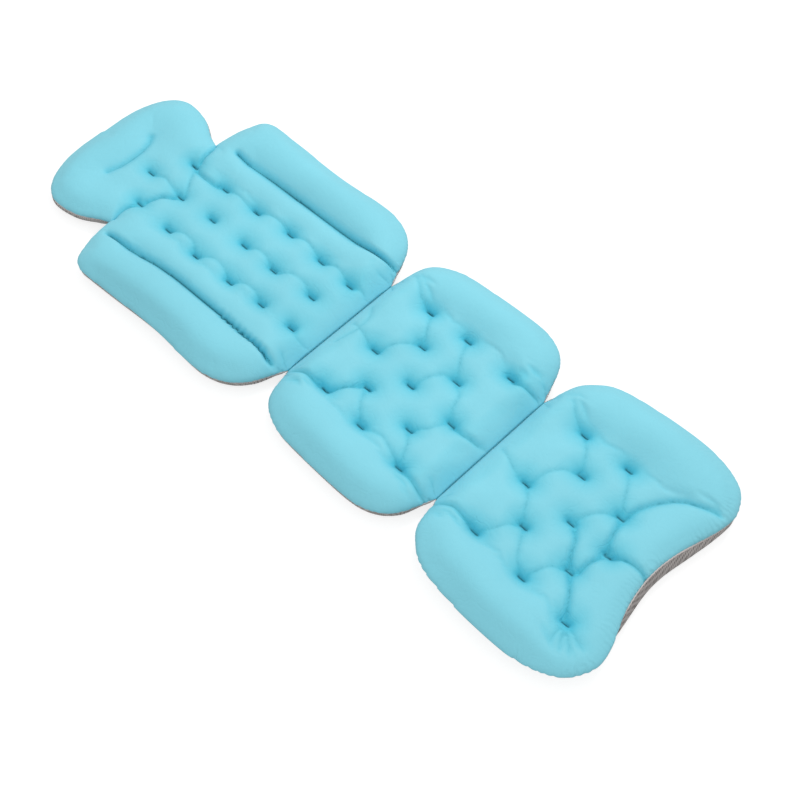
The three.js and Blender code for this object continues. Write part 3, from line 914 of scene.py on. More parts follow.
def quilted_cover(name, outline, corners, edges, low, high, tufts, channels, folds):
    """The cover inside an outline, with its tufts, channels and folds, blown up by the simulation."""
    bar_lines = bars(tufts)
    edges = [smooth_line(edge, CELL) for edge in edges]
    lines = bar_lines + channels + folds["deep"] + folds["light"]
    points, quads, ring, on_line = even_grid(outline, corners, lines)
    # Painted shade along the slits, channels and folds.
    pinch = crease_shade_of(points, bar_lines, channels, folds)
    held = on_line >= 0
    held[ring] = True
    away, at_edge, along = to_edges(points, edges)
    points = crowded(points, away, at_edge, held)
    away, at_edge, along = to_edges(points, edges)
    crown = crown_height(points, away, at_edge, low, high)
    height = sewn_down(points, crown, bar_lines, channels, folds)
    points = bulged(points, away, at_edge, low, high)
    cover = mesh_object(name, np.column_stack([points, height]), quads)
    print(name, len(points), "points,", len(quads), "squares,", int(held.sum()), "held")
    freedom = eased(np.clip((away - STILL_REACH) / FREE_REACH, 0, 1))
    swell(cover, held, freedom)
    leave_room(cover, low, high)
    # How deep each point lies under the crown: the material paints shade into the dips from it and deepens the
    # crinkles.
    depth = np.clip((crown - places_of(cover.data)[:, 2]) / DIP_DEPTH_RANGE, 0, 1)
    for label, values in (("gather", depth), ("pinch", pinch), ("from_edge", away), ("along_edge", along)):
        kept = cover.data.attributes.new(label, "FLOAT", "POINT")
        kept.data.foreach_set("value", values.astype(np.float32))
    return cover


# %% [markdown]
# The seat and the leg cover end in a straight line on each fold. Where two panels meet,
# each cover stops a hair short of the fold's axis, so that neither tears nor cuts in when the mat folds.

# %% The seat and leg covers
def panel_outline(panel):
    """The closed outline of a panel, and the ends of its free edges, which are its corners."""
    lines = edges_of[panel]
    corners = [end for line in lines for end in (line[0], line[-1])]
    return closed(*lines), corners


covers = {}
for panel, tufts, folds in (("seat", seat_tufts, seat_folds), ("leg", leg_tufts + [leg_dip], leg_folds)):
    covers[panel] = quilted_cover(
        f"{panel}_cover_cloth", *panel_outline(panel), edges_of[panel], *folds_of[panel], tufts, [], folds)

# %% [markdown]
# Head and back share one cloth, which runs on over the neck: only two short folds mark it from the sides.
# Its outline goes up the back's left side, round the head and down the right side.

# %% The head and back cover
upper_edges = [mirrored(back_side), head_edge, back_side]
upper_outline = closed(*upper_edges)
upper_corners = [place * (1, side) for place in (back_edge[0], back_side[-1]) for side in (1, -1)]
covers["upper"] = quilted_cover(
    "upper_cover_cloth", upper_outline, upper_corners, upper_edges, None, BACK_SEAM_X,
    back_tufts, back_channels, upper_folds)

# %% [markdown]
# The base under each panel is a grey air mesh. Its wall rises from the flat bottom to the cover's edge,
# steep and ribbed; at a fold it climbs gently instead, so that two panels can fold towards each other.
# The wall is a strip of rows round the free edge, and the bottom is triangulated inside its last row.

# %% The wall of a base
BASE_Z = 7 * MM
WALL_REACH = 15 * MM
BASE_FOLD_REACH = 24 * MM
WALL_ROWS = 9
WALL_STEP = 0.7 * MM
RIB_PITCH = 2.8 * MM
RIB_HEIGHT = 0.35 * MM
TURN_LENGTH = 30 * MM
EDGE_TUCK = 0.1 * MM
FOOT_WALL_SHARE = -0.2
WALL_BELLY = 5 * MM


def squares(numbers):
    """Squares between the rows of a table of point numbers."""
    corners = (numbers[:-1, :-1], numbers[:-1, 1:], numbers[1:, 1:], numbers[1:, :-1])
    return np.stack(corners, axis=-1).reshape(-1, 4).tolist()


def inward_normals(line):
    """Unit vectors into the panel, turned to lie along the fold where the edge ends at one."""
    way = np.gradient(line, axis=0)
    way /= np.linalg.norm(way, axis=1, keepdims=True)
    inward = np.column_stack([way[:, 1], -way[:, 0]])
    along = length_along(line)
    for end, distance in ((0, along), (-1, along[-1] - along)):
        share = np.clip(1 - distance / TURN_LENGTH, 0, 1)[:, None]
        across = np.array([0, -np.sign(line[end][1])])
        inward = inward * (1 - share) + across * share
    return inward / np.linalg.norm(inward, axis=1, keepdims=True)


def base_height(places, at_edge, sink, low, high):
    """The edge's height, sunk by a share of the way to the bottom, and less beside a fold."""
    top = edge_height(at_edge) - EDGE_TUCK
    return top + (BASE_Z - top) * sink * folded_down(places[:, 0], low, high, BASE_FOLD_REACH)


def wall_rows(line, low, high):
    """Rows of points from the free edge down to the bottom, ribbed like the mesh of the real wall.
    The wall swells outwards a little, and in the middle of the foot it leans out on its way down."""
    line = smooth_line(line, WALL_STEP)
    inward = inward_normals(line)
    reach = WALL_REACH * (1 - (1 - FOOT_WALL_SHARE) * foot_share(line))
    ribs = RIB_HEIGHT * np.cos(2 * math.pi * length_along(line) / RIB_PITCH)
    belly = WALL_BELLY * folded_down(line[:, 0], low, high, BASE_FOLD_REACH)
    rows = []
    for turn in np.linspace(0, math.pi / 2, WALL_ROWS):
        inset = reach * (1 - math.cos(turn)) + (ribs - belly) * math.sin(2 * turn)
        places = short_of(line + inward * inset[:, None], low, high)
        rows.append(np.column_stack([places, base_height(places, line, math.sin(turn), low, high)]))
    return rows


# %% [markdown]
# The bottom has to meet the wall's last row point for point, climb to the folds and leave a round
# eyelet for each suction cup. A constrained Delaunay triangulation does all three from points and edges.

# %% Where the suction cups are
EYELET_RADIUS = 4.2 * MM
EYELET_POINTS = 20
cup_nodes = [name for name in frame["nodes"] if name.endswith("_suction_cup")]
nodes_of_body = frame["record"]["behaviour"]["bodies"]
body_of_node = {name: body for body, names in nodes_of_body.items() for name in names}


def centre_of(name):
    """The middle of a CAD node's box."""
    low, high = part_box(name)
    return (low + high) / 2


cups_of = {panel: [c for c in cup_nodes if body_of_node[c] == panel] for panel in folds_of}
print("cups:", {panel: len(names) for panel, names in cups_of.items()})

# %% The base of each panel
BOTTOM_CELL = 7 * MM
SAME_PLACE = 1e-7
MERGE_REACH = 1e-6


def circle(centre, radius, count):
    """Even places on a circle in plan."""
    turn = np.arange(count) * 2 * math.pi / count
    return np.column_stack([centre[0] + radius * np.cos(turn), centre[1] + radius * np.sin(turn)])


def ring_edges(first, count):
    """The edges of a closed ring of points that are numbered from the first."""
    return [(first + k, first + (k + 1) % count) for k in range(count)]


def lattice_inside(loop, eyelets):
    """Even points over the bottom, clear of its rim and of the eyelets."""
    along, across = (np.arange(loop[:, k].min(), loop[:, k].max(), BOTTOM_CELL) for k in (0, 1))
    lattice = np.array([(x, y) for x in along for y in across])
    lattice = lattice[inside(lattice, loop) & (nearest(lattice, loop)[0] > BOTTOM_CELL / 2)]
    for eyelet in eyelets:
        lattice = lattice[np.linalg.norm(lattice - eyelet.mean(0), axis=1) > 2 * EYELET_RADIUS]
    return lattice


def bottom_of(inner, panel):
    """The bottom inside a ring of places, round its eyelets: its points in plan, its faces,
    and for each point the number of the place that it came from, where it came from one."""
    loop = np.vstack([inner, inner[:1]])
    eyelets = [circle(centre_of(name), EYELET_RADIUS, EYELET_POINTS) for name in cups_of[panel]]
    lattice = lattice_inside(loop, eyelets)
    edges = ring_edges(0, len(inner))
    for k in range(len(eyelets)):
        edges += ring_edges(len(inner) + len(lattice) + k * EYELET_POINTS, EYELET_POINTS)
    given = [Vector(place) for place in np.vstack([inner, lattice, *eyelets])]
    made, _, faces, sources, *_ = delaunay_2d_cdt(given, edges, [], 0, SAME_PLACE)
    made = np.array([tuple(place) for place in made])
    middles = np.array([made[list(face)].mean(0) for face in faces])
    keep = inside(middles, loop)
    for eyelet in eyelets:
        keep &= np.linalg.norm(middles - eyelet.mean(0), axis=1) > EYELET_RADIUS
    source = {k: numbers[0] for k, numbers in enumerate(sources) if numbers}
    return made, [face for face, kept in zip(faces, keep) if kept], source


def panel_base(panel):
    """The wall strips of a panel, and the bottom, which shares the points of their last rows."""
    low, high = folds_of[panel]
    points, faces, ring = [], [], []
    for line in edges_of[panel]:
        rows = wall_rows(line, low, high)
        numbers = len(points) + np.arange(WALL_ROWS * len(rows[0])).reshape(WALL_ROWS, -1)
        points += np.vstack(rows).tolist()
        faces += squares(numbers)
        ring += numbers[-1].tolist()
    places, bottom_faces, source = bottom_of(np.array(points)[ring, :2], panel)
    heights = base_height(places, places, 1, low, high)
    number = {}
    for k, place in enumerate(places):
        if source.get(k, len(ring)) < len(ring):
            number[k] = ring[source[k]]
        else:
            number[k] = len(points)
            points.append((*place, heights[k]))
    faces += [[number[k] for k in face] for face in bottom_faces]
    base = mesh_object(f"{panel}_air_mesh_base", points, faces)
    tidy_mesh(base, outward=(0, 0, -1))
    print(base.name, len(base.data.vertices), "points", len(base.data.polygons), "faces")
    return base


def tidy_mesh(piece, outward=None):
    """Merges doubles, drops loose points, and turns all faces the same way: outwards."""
    work = bmesh.new()
    work.from_mesh(piece.data)
    bmesh.ops.remove_doubles(work, verts=work.verts, dist=MERGE_REACH)
    loose = [v for v in work.verts if not v.link_faces]
    bmesh.ops.delete(work, geom=loose, context="VERTS")
    bmesh.ops.recalc_face_normals(work, faces=work.faces)
    if outward is not None:
        total = sum((f.normal * f.calc_area() for f in work.faces), Vector())
        if total.dot(Vector(outward)) < 0:
            bmesh.ops.reverse_faces(work, faces=work.faces)
    work.to_mesh(piece.data)
    work.free()
    piece.data.update()


bases = {panel: panel_base(panel) for panel in folds_of}

# %% [markdown]
# A folded tape binds each free edge, where cover and mesh are sewn together.
# It is swept along the edge with a rounded section, puckers a little between its stitches,
# and tapers at its ends, where the neighbour's tape begins on the other side of the fold.

# %% The bindings
TAPE_STEP = 1.5 * MM
TAPE_HALF_HEIGHT = 2.6 * MM
TAPE_THICKNESS = 1.9 * MM
TAPE_PUCKER = 0.25 * MM
TAPE_PUCKER_PITCH = 7.5 * MM
TAPE_OUT_SHARE = 0.65
TAPE_CORNERS = 10
TAPE_END_LENGTH = 10 * MM
TAPE_END_SHARE = 0.12


def tube(name, rows):
    """A closed tube through rows of places that run along it, with a cap at each end."""
    numbers = np.arange(len(rows) * len(rows[0])).reshape(len(rows), -1)
    faces = squares(np.vstack([numbers, numbers[:1]])) + [numbers[:, 0].tolist(), numbers[:, -1].tolist()]
    made = mesh_object(name, np.vstack(rows), faces)
    tidy_mesh(made)
    return made


def tape_along(name, line):
    """A tape along a free edge. Most of its thickness lies outside of the edge, as its out share says."""
    line = smooth_line(line, TAPE_STEP)
    outward = -inward_normals(line)
    along = length_along(line)
    pucker = TAPE_PUCKER * np.sin(2 * math.pi * along / TAPE_PUCKER_PITCH)
    taper = np.clip(np.minimum(along, along[-1] - along) / TAPE_END_LENGTH, TAPE_END_SHARE, 1)
    rows = []
    for k in range(TAPE_CORNERS):
        turn = 2 * math.pi * k / TAPE_CORNERS
        out = taper * TAPE_THICKNESS * (1 - TAPE_OUT_SHARE + TAPE_OUT_SHARE * math.cos(turn))
        up = taper * TAPE_HALF_HEIGHT * math.sin(turn)
        places = line + outward * (out + pucker)[:, None]
        rows.append(np.column_stack([places, edge_height(line) + up]))
    return tube(name, rows)


tapes = {}
for panel, lines in edges_of.items():
    sides = ("",) if len(lines) == 1 else ("_left", "_right")
    for side, line in zip(sides, lines):
        tapes[f"{panel}_binding{side}"] = tape_along(f"{panel}_edge_tape{side}", line)
print(len(tapes), "edge tapes")

# %% [markdown]
# Under the sewn line of each fold lies a narrow tape, which joins two panels and carries the fold.
# It ripples a little, and its cross-section is a flat rounded loop.

# %% The seam tapes
SEAM_TAPE_HALF_WIDTH = 1.9 * MM
SEAM_TAPE_HALF_THICKNESS = 0.7 * MM
SEAM_TAPE_CORNERS = 8
RIPPLE = 0.3 * MM
RIPPLE_PITCH = 7 * MM


def seam_tape(name, x):
    """A tape across the mat, along the fold at a place."""
    half = half_width_at[x]
    y = np.linspace(-half, half, round(2 * half / TAPE_STEP) + 1)
    ripple = SEAM_Z - RIPPLE + RIPPLE * np.sin(2 * math.pi * y / RIPPLE_PITCH)
    rows = []
    for k in range(SEAM_TAPE_CORNERS):
        turn = 2 * math.pi * (k + 0.5) / SEAM_TAPE_CORNERS
        across = np.full(len(y), x + SEAM_TAPE_HALF_WIDTH * math.cos(turn))
        rows.append(np.column_stack([across, y, ripple + SEAM_TAPE_HALF_THICKNESS * math.sin(turn)]))
    return tube(name, rows)


seam_tapes = {
    f"{fold}_seam_web": seam_tape(f"{fold}_seam_tape", x)
    for fold, x in (("neck", NECK_X), ("back", BACK_SEAM_X), ("leg", LEG_SEAM_X))
}
print(len(seam_tapes), "seam tapes")

# %% [markdown]
# Each pad is stuffed with loose fibre. Nobody sees it in the picture, but it is a real piece,
# so it gets the cover's own form, a little smaller, over the base's form: the cover's faces are
# copied down by the cloth's thickness and some air, and closed with a side wall and a bottom.
# There is more air at the neck, where the cover sinks a little as it bends.

# %% The fillings
FILLING_AIR = 3 * MM
NECK_AIR = 8 * MM
NECK_AIR_REACH = 45 * MM
FILLING_INSET = 7 * MM
FILLING_FOLD_MARGIN = 12 * MM
FILLING_BOTTOM = 11.6 * MM
FILLING_BASE_AIR = 2.2 * MM
FILLING_LEAST = 2 * MM


def under_filling(places, edges, low, high):
    """Height of a filling's underside: a little above the base's form, on the flattened bottom."""
    away = to_edges(places, edges)[0]
    down = round_over(away, WALL_REACH) * folded_down(places[:, 0], low, high, BASE_FOLD_REACH)
    return np.maximum(SEAM_Z + (BASE_Z - SEAM_Z) * down + FILLING_BASE_AIR, FILLING_BOTTOM)


def filling_of(panel, cover):
    """The cover's faces over a panel, copied down and closed to a body of fibre."""
    low, high = folds_of[panel]
    places = places_of(cover.data)
    faces = np.array([face.vertices[:] for face in cover.data.polygons])
    middles = places[faces].mean(1)[:, :2]
    edges = [smooth_line(edge, CELL) for edge in edges_of[panel]]
    keep = inside(middles, panel_outline(panel)[0]) & (to_edges(middles, edges)[0] > FILLING_INSET)
    if low is not None:
        keep &= middles[:, 0] > low + FILLING_FOLD_MARGIN
    if high is not None:
        keep &= middles[:, 0] < high - FILLING_FOLD_MARGIN
    used, faces = np.unique(faces[keep], return_inverse=True)
    faces = faces.reshape(-1, 4)
    top = places[used]
    top[:, 2] -= FILLING_AIR + NECK_AIR * np.clip(1 - np.abs(top[:, 0] - NECK_X) / NECK_AIR_REACH, 0, 1)
    under = under_filling(top[:, :2], edges, low, high)
    top[:, 2] = np.maximum(top[:, 2], under + FILLING_LEAST)
    bottom = np.column_stack([top[:, :2], under])
    sides = {(face[k], face[(k + 1) % 4]) for face in faces.tolist() for k in range(4)}
    rim = [(a, b) for a, b in sorted(sides) if (b, a) not in sides]
    shift = len(top)
    all_faces = faces.tolist() + (faces[:, ::-1] + shift).tolist()
    all_faces += [(b, a, a + shift, b + shift) for a, b in rim]
    filling = mesh_object(f"{panel}_fibre_filling", np.vstack([top, bottom]), all_faces)
    tidy_mesh(filling)
    print(filling.name, "height", (top[:, 2].max() - FILLING_BOTTOM).round(4))
    return filling


cover_over = {"head": "upper", "back": "upper", "seat": "seat", "leg": "leg"}
fillings = {panel: filling_of(panel, covers[name]) for panel, name in cover_over.items()}

# %% [markdown]
# Fourteen clear vinyl cups hold the mat in the tub. A cup is a turned shape, so its half profile is
# spun round its own axis: the hollow, the thin rim, the outer cone, the neck and the button's head.
# The neck passes the eyelet in the base, and the head keeps it from slipping out.
# A woven disc is sewn round each eyelet. It is turned in the same way, from a flat closed profile.

# %% Turned pieces: cups and patches
TURN_STEPS = 48
cup_profile = line_of(
    (0, 3.2), (6, 3.0), (12, 2.0), (16, 0.7), (17.5, 0), (20, 0), (20.3, 0.45), (20, 0.9), (17, 2.3),
    (14, 3.6), (10, 4.5), (6.5, 5.1), (4, 5.4), (3.5, 5.65), (3.5, 8.9), (7, 8.9), (7.2, 9.4),
    (6.6, 10.1), (4, 10.6), (0, 10.7))
patch_profile = line_of((4.3, 5.8), (14.6, 5.8), (15, 6), (15, 6.7), (14.6, 6.9), (4.3, 6.9), (4.3, 5.8))


def turned(name, profile, centre):
    """A closed mesh from a half profile of (radius, height) spun round an upright axis."""
    rings = [
        np.column_stack([circle(centre, radius, TURN_STEPS), np.full(TURN_STEPS, height)])
        for radius, height in profile
    ]
    numbers = np.arange(len(profile) * TURN_STEPS).reshape(-1, TURN_STEPS)
    made = mesh_object(name, np.vstack(rings), squares(np.hstack([numbers, numbers[:, :1]])))
    tidy_mesh(made)
    return made


cups, patches = {}, {}
for cup_node in cup_nodes:
    label = cup_node.replace("_suction_cup", "")
    cups[cup_node] = turned(f"{label}_clear_cup", cup_profile, centre_of(cup_node))
    patches[f"{label}_cup_patch"] = turned(f"{label}_woven_disc", patch_profile, centre_of(cup_node))
print(len(cups), "cups and", len(patches), "discs")

# %% [markdown]
# Every piece is soft or round, so all get smooth shading. The covers also get one subdivision,
# which rounds the small folds. Cover and base are open sheets, so a Solidify modifier gives them
# the thickness of the cloth, inwards.

# %% Finishing the cloth
CLOTH_THICKNESS = 1.4 * MM


def thicken(piece):
    """Gives an open sheet its thickness."""
    sheet = piece.modifiers.new("cloth_thickness", "SOLIDIFY")
    sheet.thickness = CLOTH_THICKNESS
    sheet.offset = -1


for pieces in (covers, bases, tapes, seam_tapes, fillings, cups, patches):
    for piece in pieces.values():
        piece.data.shade_smooth()
for cover in covers.values():
    finer = cover.modifiers.new("finer", "SUBSURF")
    finer.levels = finer.render_levels = 1
for sheet in (*covers.values(), *bases.values()):
    thicken(sheet)
print(len(covers) + len(bases), "sheets thickened to", CLOTH_THICKNESS / MM, "mm")

# %% [markdown]
# Every stitch on the mat is the same small grain, set again and again along a line. That is a job for
# Geometry Nodes: a tree that walks along the edges of a line mesh, puts a grain at every step,
# turns it along the line, makes it smaller towards the ends where a taper is asked for,
# and makes it all one real mesh with the thread's material.

# %% The tree for stitch rows
GRAIN_SEGMENTS = 6
GRAIN_RINGS = 4
STITCH_INPUTS = {
    "Lines": "Geometry", "Pitch": "Float", "Grain Size": "Vector", "Taper": "Float", "Thread": "Material",
}


def new_tree(name, kind, inputs, outputs):
    """A node tree with named inputs and outputs, given as names and socket types."""
    tree = bpy.data.node_groups.new(name, kind)
    for way, sockets in (("INPUT", inputs), ("OUTPUT", outputs)):
        for label, socket in sockets.items():
            tree.interface.new_socket(label, in_out=way, socket_type="NodeSocket" + socket)
    return tree, tree.nodes.new("NodeGroupInput").outputs, tree.nodes.new("NodeGroupOutput").inputs


def grain_scale(tree, taper):
    """1 in the middle of a row, smaller towards its ends by the taper."""
    way = node(tree, "GeometryNodeSplineParameter").outputs["Factor"]
    from_middle = value_of(tree, "MULTIPLY_ADD", way, 2.0, -1.0)
    loss = value_of(tree, "MULTIPLY", value_of(tree, "POWER", from_middle, 2.0), taper)
    return value_of(tree, "SUBTRACT", 1.0, loss)


def stitch_tree():
    """The tree that sets a grain at every step along the edges of a line mesh."""
    tree, given, result = new_tree("stitch rows", "GeometryNodeTree", STITCH_INPUTS, {"Stitches": "Geometry"})
    curve = node(tree, "GeometryNodeMeshToCurve", {"Mesh": given["Lines"]}).outputs[0]
    steps = node(tree, "GeometryNodeResampleCurve", {"Curve": curve, "Length": given["Pitch"]}, mode="LENGTH")
    tangent = node(tree, "GeometryNodeInputTangent").outputs[0]
    turn = node(tree, "FunctionNodeAlignRotationToVector", {"Vector": tangent}, axis="X")
    ball = node(tree, "GeometryNodeMeshUVSphere", {
        "Segments": GRAIN_SEGMENTS, "Rings": GRAIN_RINGS, "Radius": 1})
    grain = node(tree, "GeometryNodeTransform", {"Geometry": ball.outputs[0], "Scale": given["Grain Size"]})
    rows = node(tree, "GeometryNodeInstanceOnPoints", {
        "Points": steps.outputs[0], "Instance": grain.outputs[0], "Rotation": turn.outputs[0],
        "Scale": grain_scale(tree, given["Taper"]),
    })
    real = node(tree, "GeometryNodeRealizeInstances", {"Geometry": rows.outputs[0]})
    soft = node(tree, "GeometryNodeSetShadeSmooth", {"Geometry": real.outputs[0]})
    thread = node(tree, "GeometryNodeSetMaterial", {"Geometry": soft.outputs[0], "Material": given["Thread"]})
    tree.links.new(thread.outputs[0], result["Stitches"])
    return tree


stitch_rows = stitch_tree()
print("stitch tree with", len(stitch_rows.nodes), "nodes")

# %% Making a stitch row
def stitched(name, lines, pitch, grain_size, thread, taper=0.0):
    """One mesh with a stitch at every step along each of the lines, which are rows of places in space."""
    points = np.vstack(lines)
    ends = np.cumsum([len(line) for line in lines])
    edges = [(k, k + 1) for k in range(len(points) - 1) if k + 1 not in ends]
    guide_mesh = bpy.data.meshes.new(name)
    guide_mesh.from_pydata(points.tolist(), edges, [])
    guide = bpy.data.objects.new(name + "_guide", guide_mesh)
    scene.collection.objects.link(guide)
    modifier = guide.modifiers.new("stitches", "NODES")
    modifier.node_group = stitch_rows
    radii = [size / 2 for size in grain_size]
    sizes = {"Pitch": pitch, "Grain Size": radii, "Taper": taper, "Thread": thread}
    for item in stitch_rows.interface.items_tree:
        if item.name in sizes:
            modifier[item.identifier] = sizes[item.name]
    evaluated = guide.evaluated_get(bpy.context.evaluated_depsgraph_get())
    made = bpy.data.objects.new(name, bpy.data.meshes.new_from_object(evaluated))
    scene.collection.objects.link(made)
    bpy.data.objects.remove(guide)
    return made


# %% [markdown]
# All the colour and weave comes from node materials. Two effects are wanted in several of them,
# so each is a node group: a weave of crossing threads, and a soft uneven shade as of dye and wear.
# They read Object coordinates, because every piece lies in the mat's own frame.
# The thread scale over a pitch is the scale of a wave texture that crosses each axis every two pitches.

# %% The weave and the shade
THREAD_SCALE = 0.314
NOISE_MIDDLE = 0.5
SHADE_DETAIL = 3.0


def weave_group():
    """Two sets of slanting threads that cross: where they are high, and where the gaps are."""
    tree, given, result = new_tree(
        "fine weave", "ShaderNodeTree",
        {"Place": "Vector", "Scale": "Float", "Waver": "Float"}, {"Height": "Float", "Gaps": "Float"})
    threads = []
    for turn in (0, math.pi / 2):
        place = node(tree, "ShaderNodeMapping", {"Vector": given["Place"], "Rotation": (0, 0, turn)})
        values = {"Vector": place.outputs[0], "Scale": given["Scale"], "Distortion": given["Waver"]}
        thread = node(tree, "ShaderNodeTexWave", {**values, "Detail": 1.0}, bands_direction="DIAGONAL")
        threads.append(thread.outputs["Fac"])
    height = value_of(tree, "MAXIMUM", *threads)
    tree.links.new(height, result["Height"])
    tree.links.new(value_of(tree, "SUBTRACT", 1.0, height), result["Gaps"])
    return tree


def shade_group():
    """A colour that swings a little lighter and darker in soft spots."""
    tree, given, result = new_tree(
        "soft shade", "ShaderNodeTree",
        {"Place": "Vector", "Colour": "Color", "Amount": "Float", "Spots": "Float"}, {"Colour": "Color"})
    values = {"Vector": given["Place"], "Scale": given["Spots"], "Detail": SHADE_DETAIL}
    cloud = node(tree, "ShaderNodeTexNoise", values).outputs["Fac"]
    away = value_of(tree, "SUBTRACT", cloud, NOISE_MIDDLE)
    swing = value_of(tree, "MULTIPLY_ADD", away, given["Amount"], 1.0)
    tinted = node(tree, "ShaderNodeVectorMath", {0: given["Colour"], "Scale": swing}, operation="SCALE")
    tree.links.new(tinted.outputs[0], result["Colour"])
    return tree


fine_weave = weave_group()
soft_shade = shade_group()
print("effects:", fine_weave.name, "and", soft_shade.name)

# %% [markdown]
# The materials below share a few steps: a place on the piece, noise, a mix of two colours,
# a value carried to another range, a relief that bends the light, and the two groups.

# %% Helpers for materials
def object_place(tree):
    """A place on the piece, in Object coordinates."""
    return node(tree, "ShaderNodeTexCoord").outputs["Object"]


def noise(tree, place, scale, detail, distortion=0.0):
    """Soft noise between 0 and 1."""
    values = {"Vector": place, "Scale": scale, "Detail": detail, "Distortion": distortion}
    return node(tree, "ShaderNodeTexNoise", values).outputs["Fac"]


def mixed(tree, share, first, second):
    """The first colour where the share is 0, the second where it is 1."""
    return node(tree, "ShaderNodeMix", {0: share, 6: first, 7: second}, data_type="RGBA").outputs[2]


def carried(tree, value, before=(0, 1), after=(0, 1)):
    """The value carried from the range before to the range after, and kept inside that."""
    values = {"From Min": before[0], "From Max": before[1], "To Min": after[0], "To Max": after[1]}
    return node(tree, "ShaderNodeMapRange", {"Value": value, **values}).outputs[0]


def relief(tree, height, strength, depth, below=None):
    """The normal of a surface with this relief, on top of the relief below it, where there is one."""
    values = {"Height": height, "Strength": strength, "Distance": depth}
    if below is not None:
        values["Normal"] = below
    return node(tree, "ShaderNodeBump", values).outputs[0]


def woven(tree, place, pitch, waver):
    """The height and the gaps of a weave with this pitch."""
    values = {"Place": place, "Scale": THREAD_SCALE / pitch, "Waver": waver}
    return node(tree, "ShaderNodeGroup", values, node_tree=fine_weave).outputs


def shaded(tree, place, colour, amount, spots):
    """The colour with its soft uneven shade."""
    values = {"Place": place, "Colour": colour, "Amount": amount, "Spots": spots}
    return node(tree, "ShaderNodeGroup", values, node_tree=soft_shade).outputs["Colour"]


def surfaced(tree, values):
    """Ends a material with a Principled BSDF that has these values."""
    shader = node(tree, "ShaderNodeBsdfPrincipled", values)
    node(tree, "ShaderNodeOutputMaterial", {"Surface": shader.outputs[0]})


# %% [markdown]
# The knit of the cover is smooth and matte, with a soft sheen. Its colour is painted darker in a dip, as shade,
# and darkest in a slit, channel or fold, as painted shadow: the attributes that each cover keeps say where that
# is.
# Near a free edge it puckers, most at the foot: small waves square to the edge, which fade out inwards.

# %% The cover's knit
# The knit's own colour, then painted shade for the dips, then darker painted shade for the slits, channels and
# folds.
KNIT_LIGHT = (0.242, 0.685, 0.81, 1)
KNIT_DIP_SHADE = (0.09, 0.59, 0.75, 1)
KNIT_CREASE_SHADE = (0.004, 0.13, 0.18, 1)
DIP_SHADE_POWER = 0.8
CREASE_SHADE_POWER = 3.2
KNIT_PITCH = 1.1 * MM
KNIT_DEPTH = 0.3 * MM
WRINKLE_DEPTH = 1 * MM
CRINKLE_DEPTH = 1.2 * MM
CRINKLE_SHARPNESS = 16.0
FLAT_CRINKLE_SHARE = 0.25
PUCKER_DEPTH = 2.5 * MM
PUCKER_PITCH = 9 * MM
PUCKER_REACH = 30 * MM
PUCKER_WANDER = 14.0
PUCKER_FADE_POWER = 1.5
PUCKER_FOOT_X = (480 * MM, 580 * MM)


def attribute(tree, name):
    """A value that the cover's mesh keeps at each of its points."""
    return node(tree, "ShaderNodeAttribute", attribute_name=name).outputs["Fac"]


def pucker_height(tree, place):
    """Small waves square to the free edge, in patches, strongest at the edge and at the foot."""
    wander = value_of(tree, "MULTIPLY", noise(tree, place, scale=38.0, detail=2.0), PUCKER_WANDER)
    phase = value_of(tree, "MULTIPLY_ADD", attribute(tree, "along_edge"), 2 * math.pi / PUCKER_PITCH, wander)
    wave = carried(tree, value_of(tree, "SINE", phase), before=(-1, 1))
    near = carried(tree, attribute(tree, "from_edge"), before=(0, PUCKER_REACH), after=(1, 0))
    patchy = carried(tree, noise(tree, place, scale=14.0, detail=1.0), before=(0.46, 0.6))
    x = node(tree, "ShaderNodeSeparateXYZ", {"Vector": place}).outputs["X"]
    at_foot = carried(tree, x, before=PUCKER_FOOT_X, after=(0.2, 1))
    height = value_of(tree, "MULTIPLY", wave, value_of(tree, "POWER", near, PUCKER_FADE_POWER))
    return value_of(tree, "MULTIPLY", height, value_of(tree, "MULTIPLY", at_foot, patchy))


def crinkle_height(tree, place):
    """Thin creases: where a noise crosses its middle value, deeper where the knit is gathered."""
    cloud = noise(tree, place, scale=30.0, detail=3.0, distortion=0.8)
    away = value_of(tree, "ABSOLUTE", value_of(tree, "SUBTRACT", cloud, NOISE_MIDDLE))
    crease = value_of(tree, "MINIMUM", value_of(tree, "MULTIPLY", away, CRINKLE_SHARPNESS), 1.0)
    weight = value_of(tree, "ADD", attribute(tree, "gather"), FLAT_CRINKLE_SHARE)
    return value_of(tree, "MULTIPLY", crease, weight)


def knit_normal(tree, place, weave):
    """The relief of the knit, from the finest to the largest: loops, wrinkles, crinkles and puckers."""
    small = noise(tree, place, scale=130.0, detail=3.0)
    normal = relief(tree, weave["Height"], strength=0.25, depth=KNIT_DEPTH)
    normal = relief(tree, small, strength=0.35, depth=WRINKLE_DEPTH, below=normal)
    normal = relief(tree, crinkle_height(tree, place), strength=0.42, depth=CRINKLE_DEPTH, below=normal)
    return relief(tree, pucker_height(tree, place), strength=0.5, depth=PUCKER_DEPTH, below=normal)


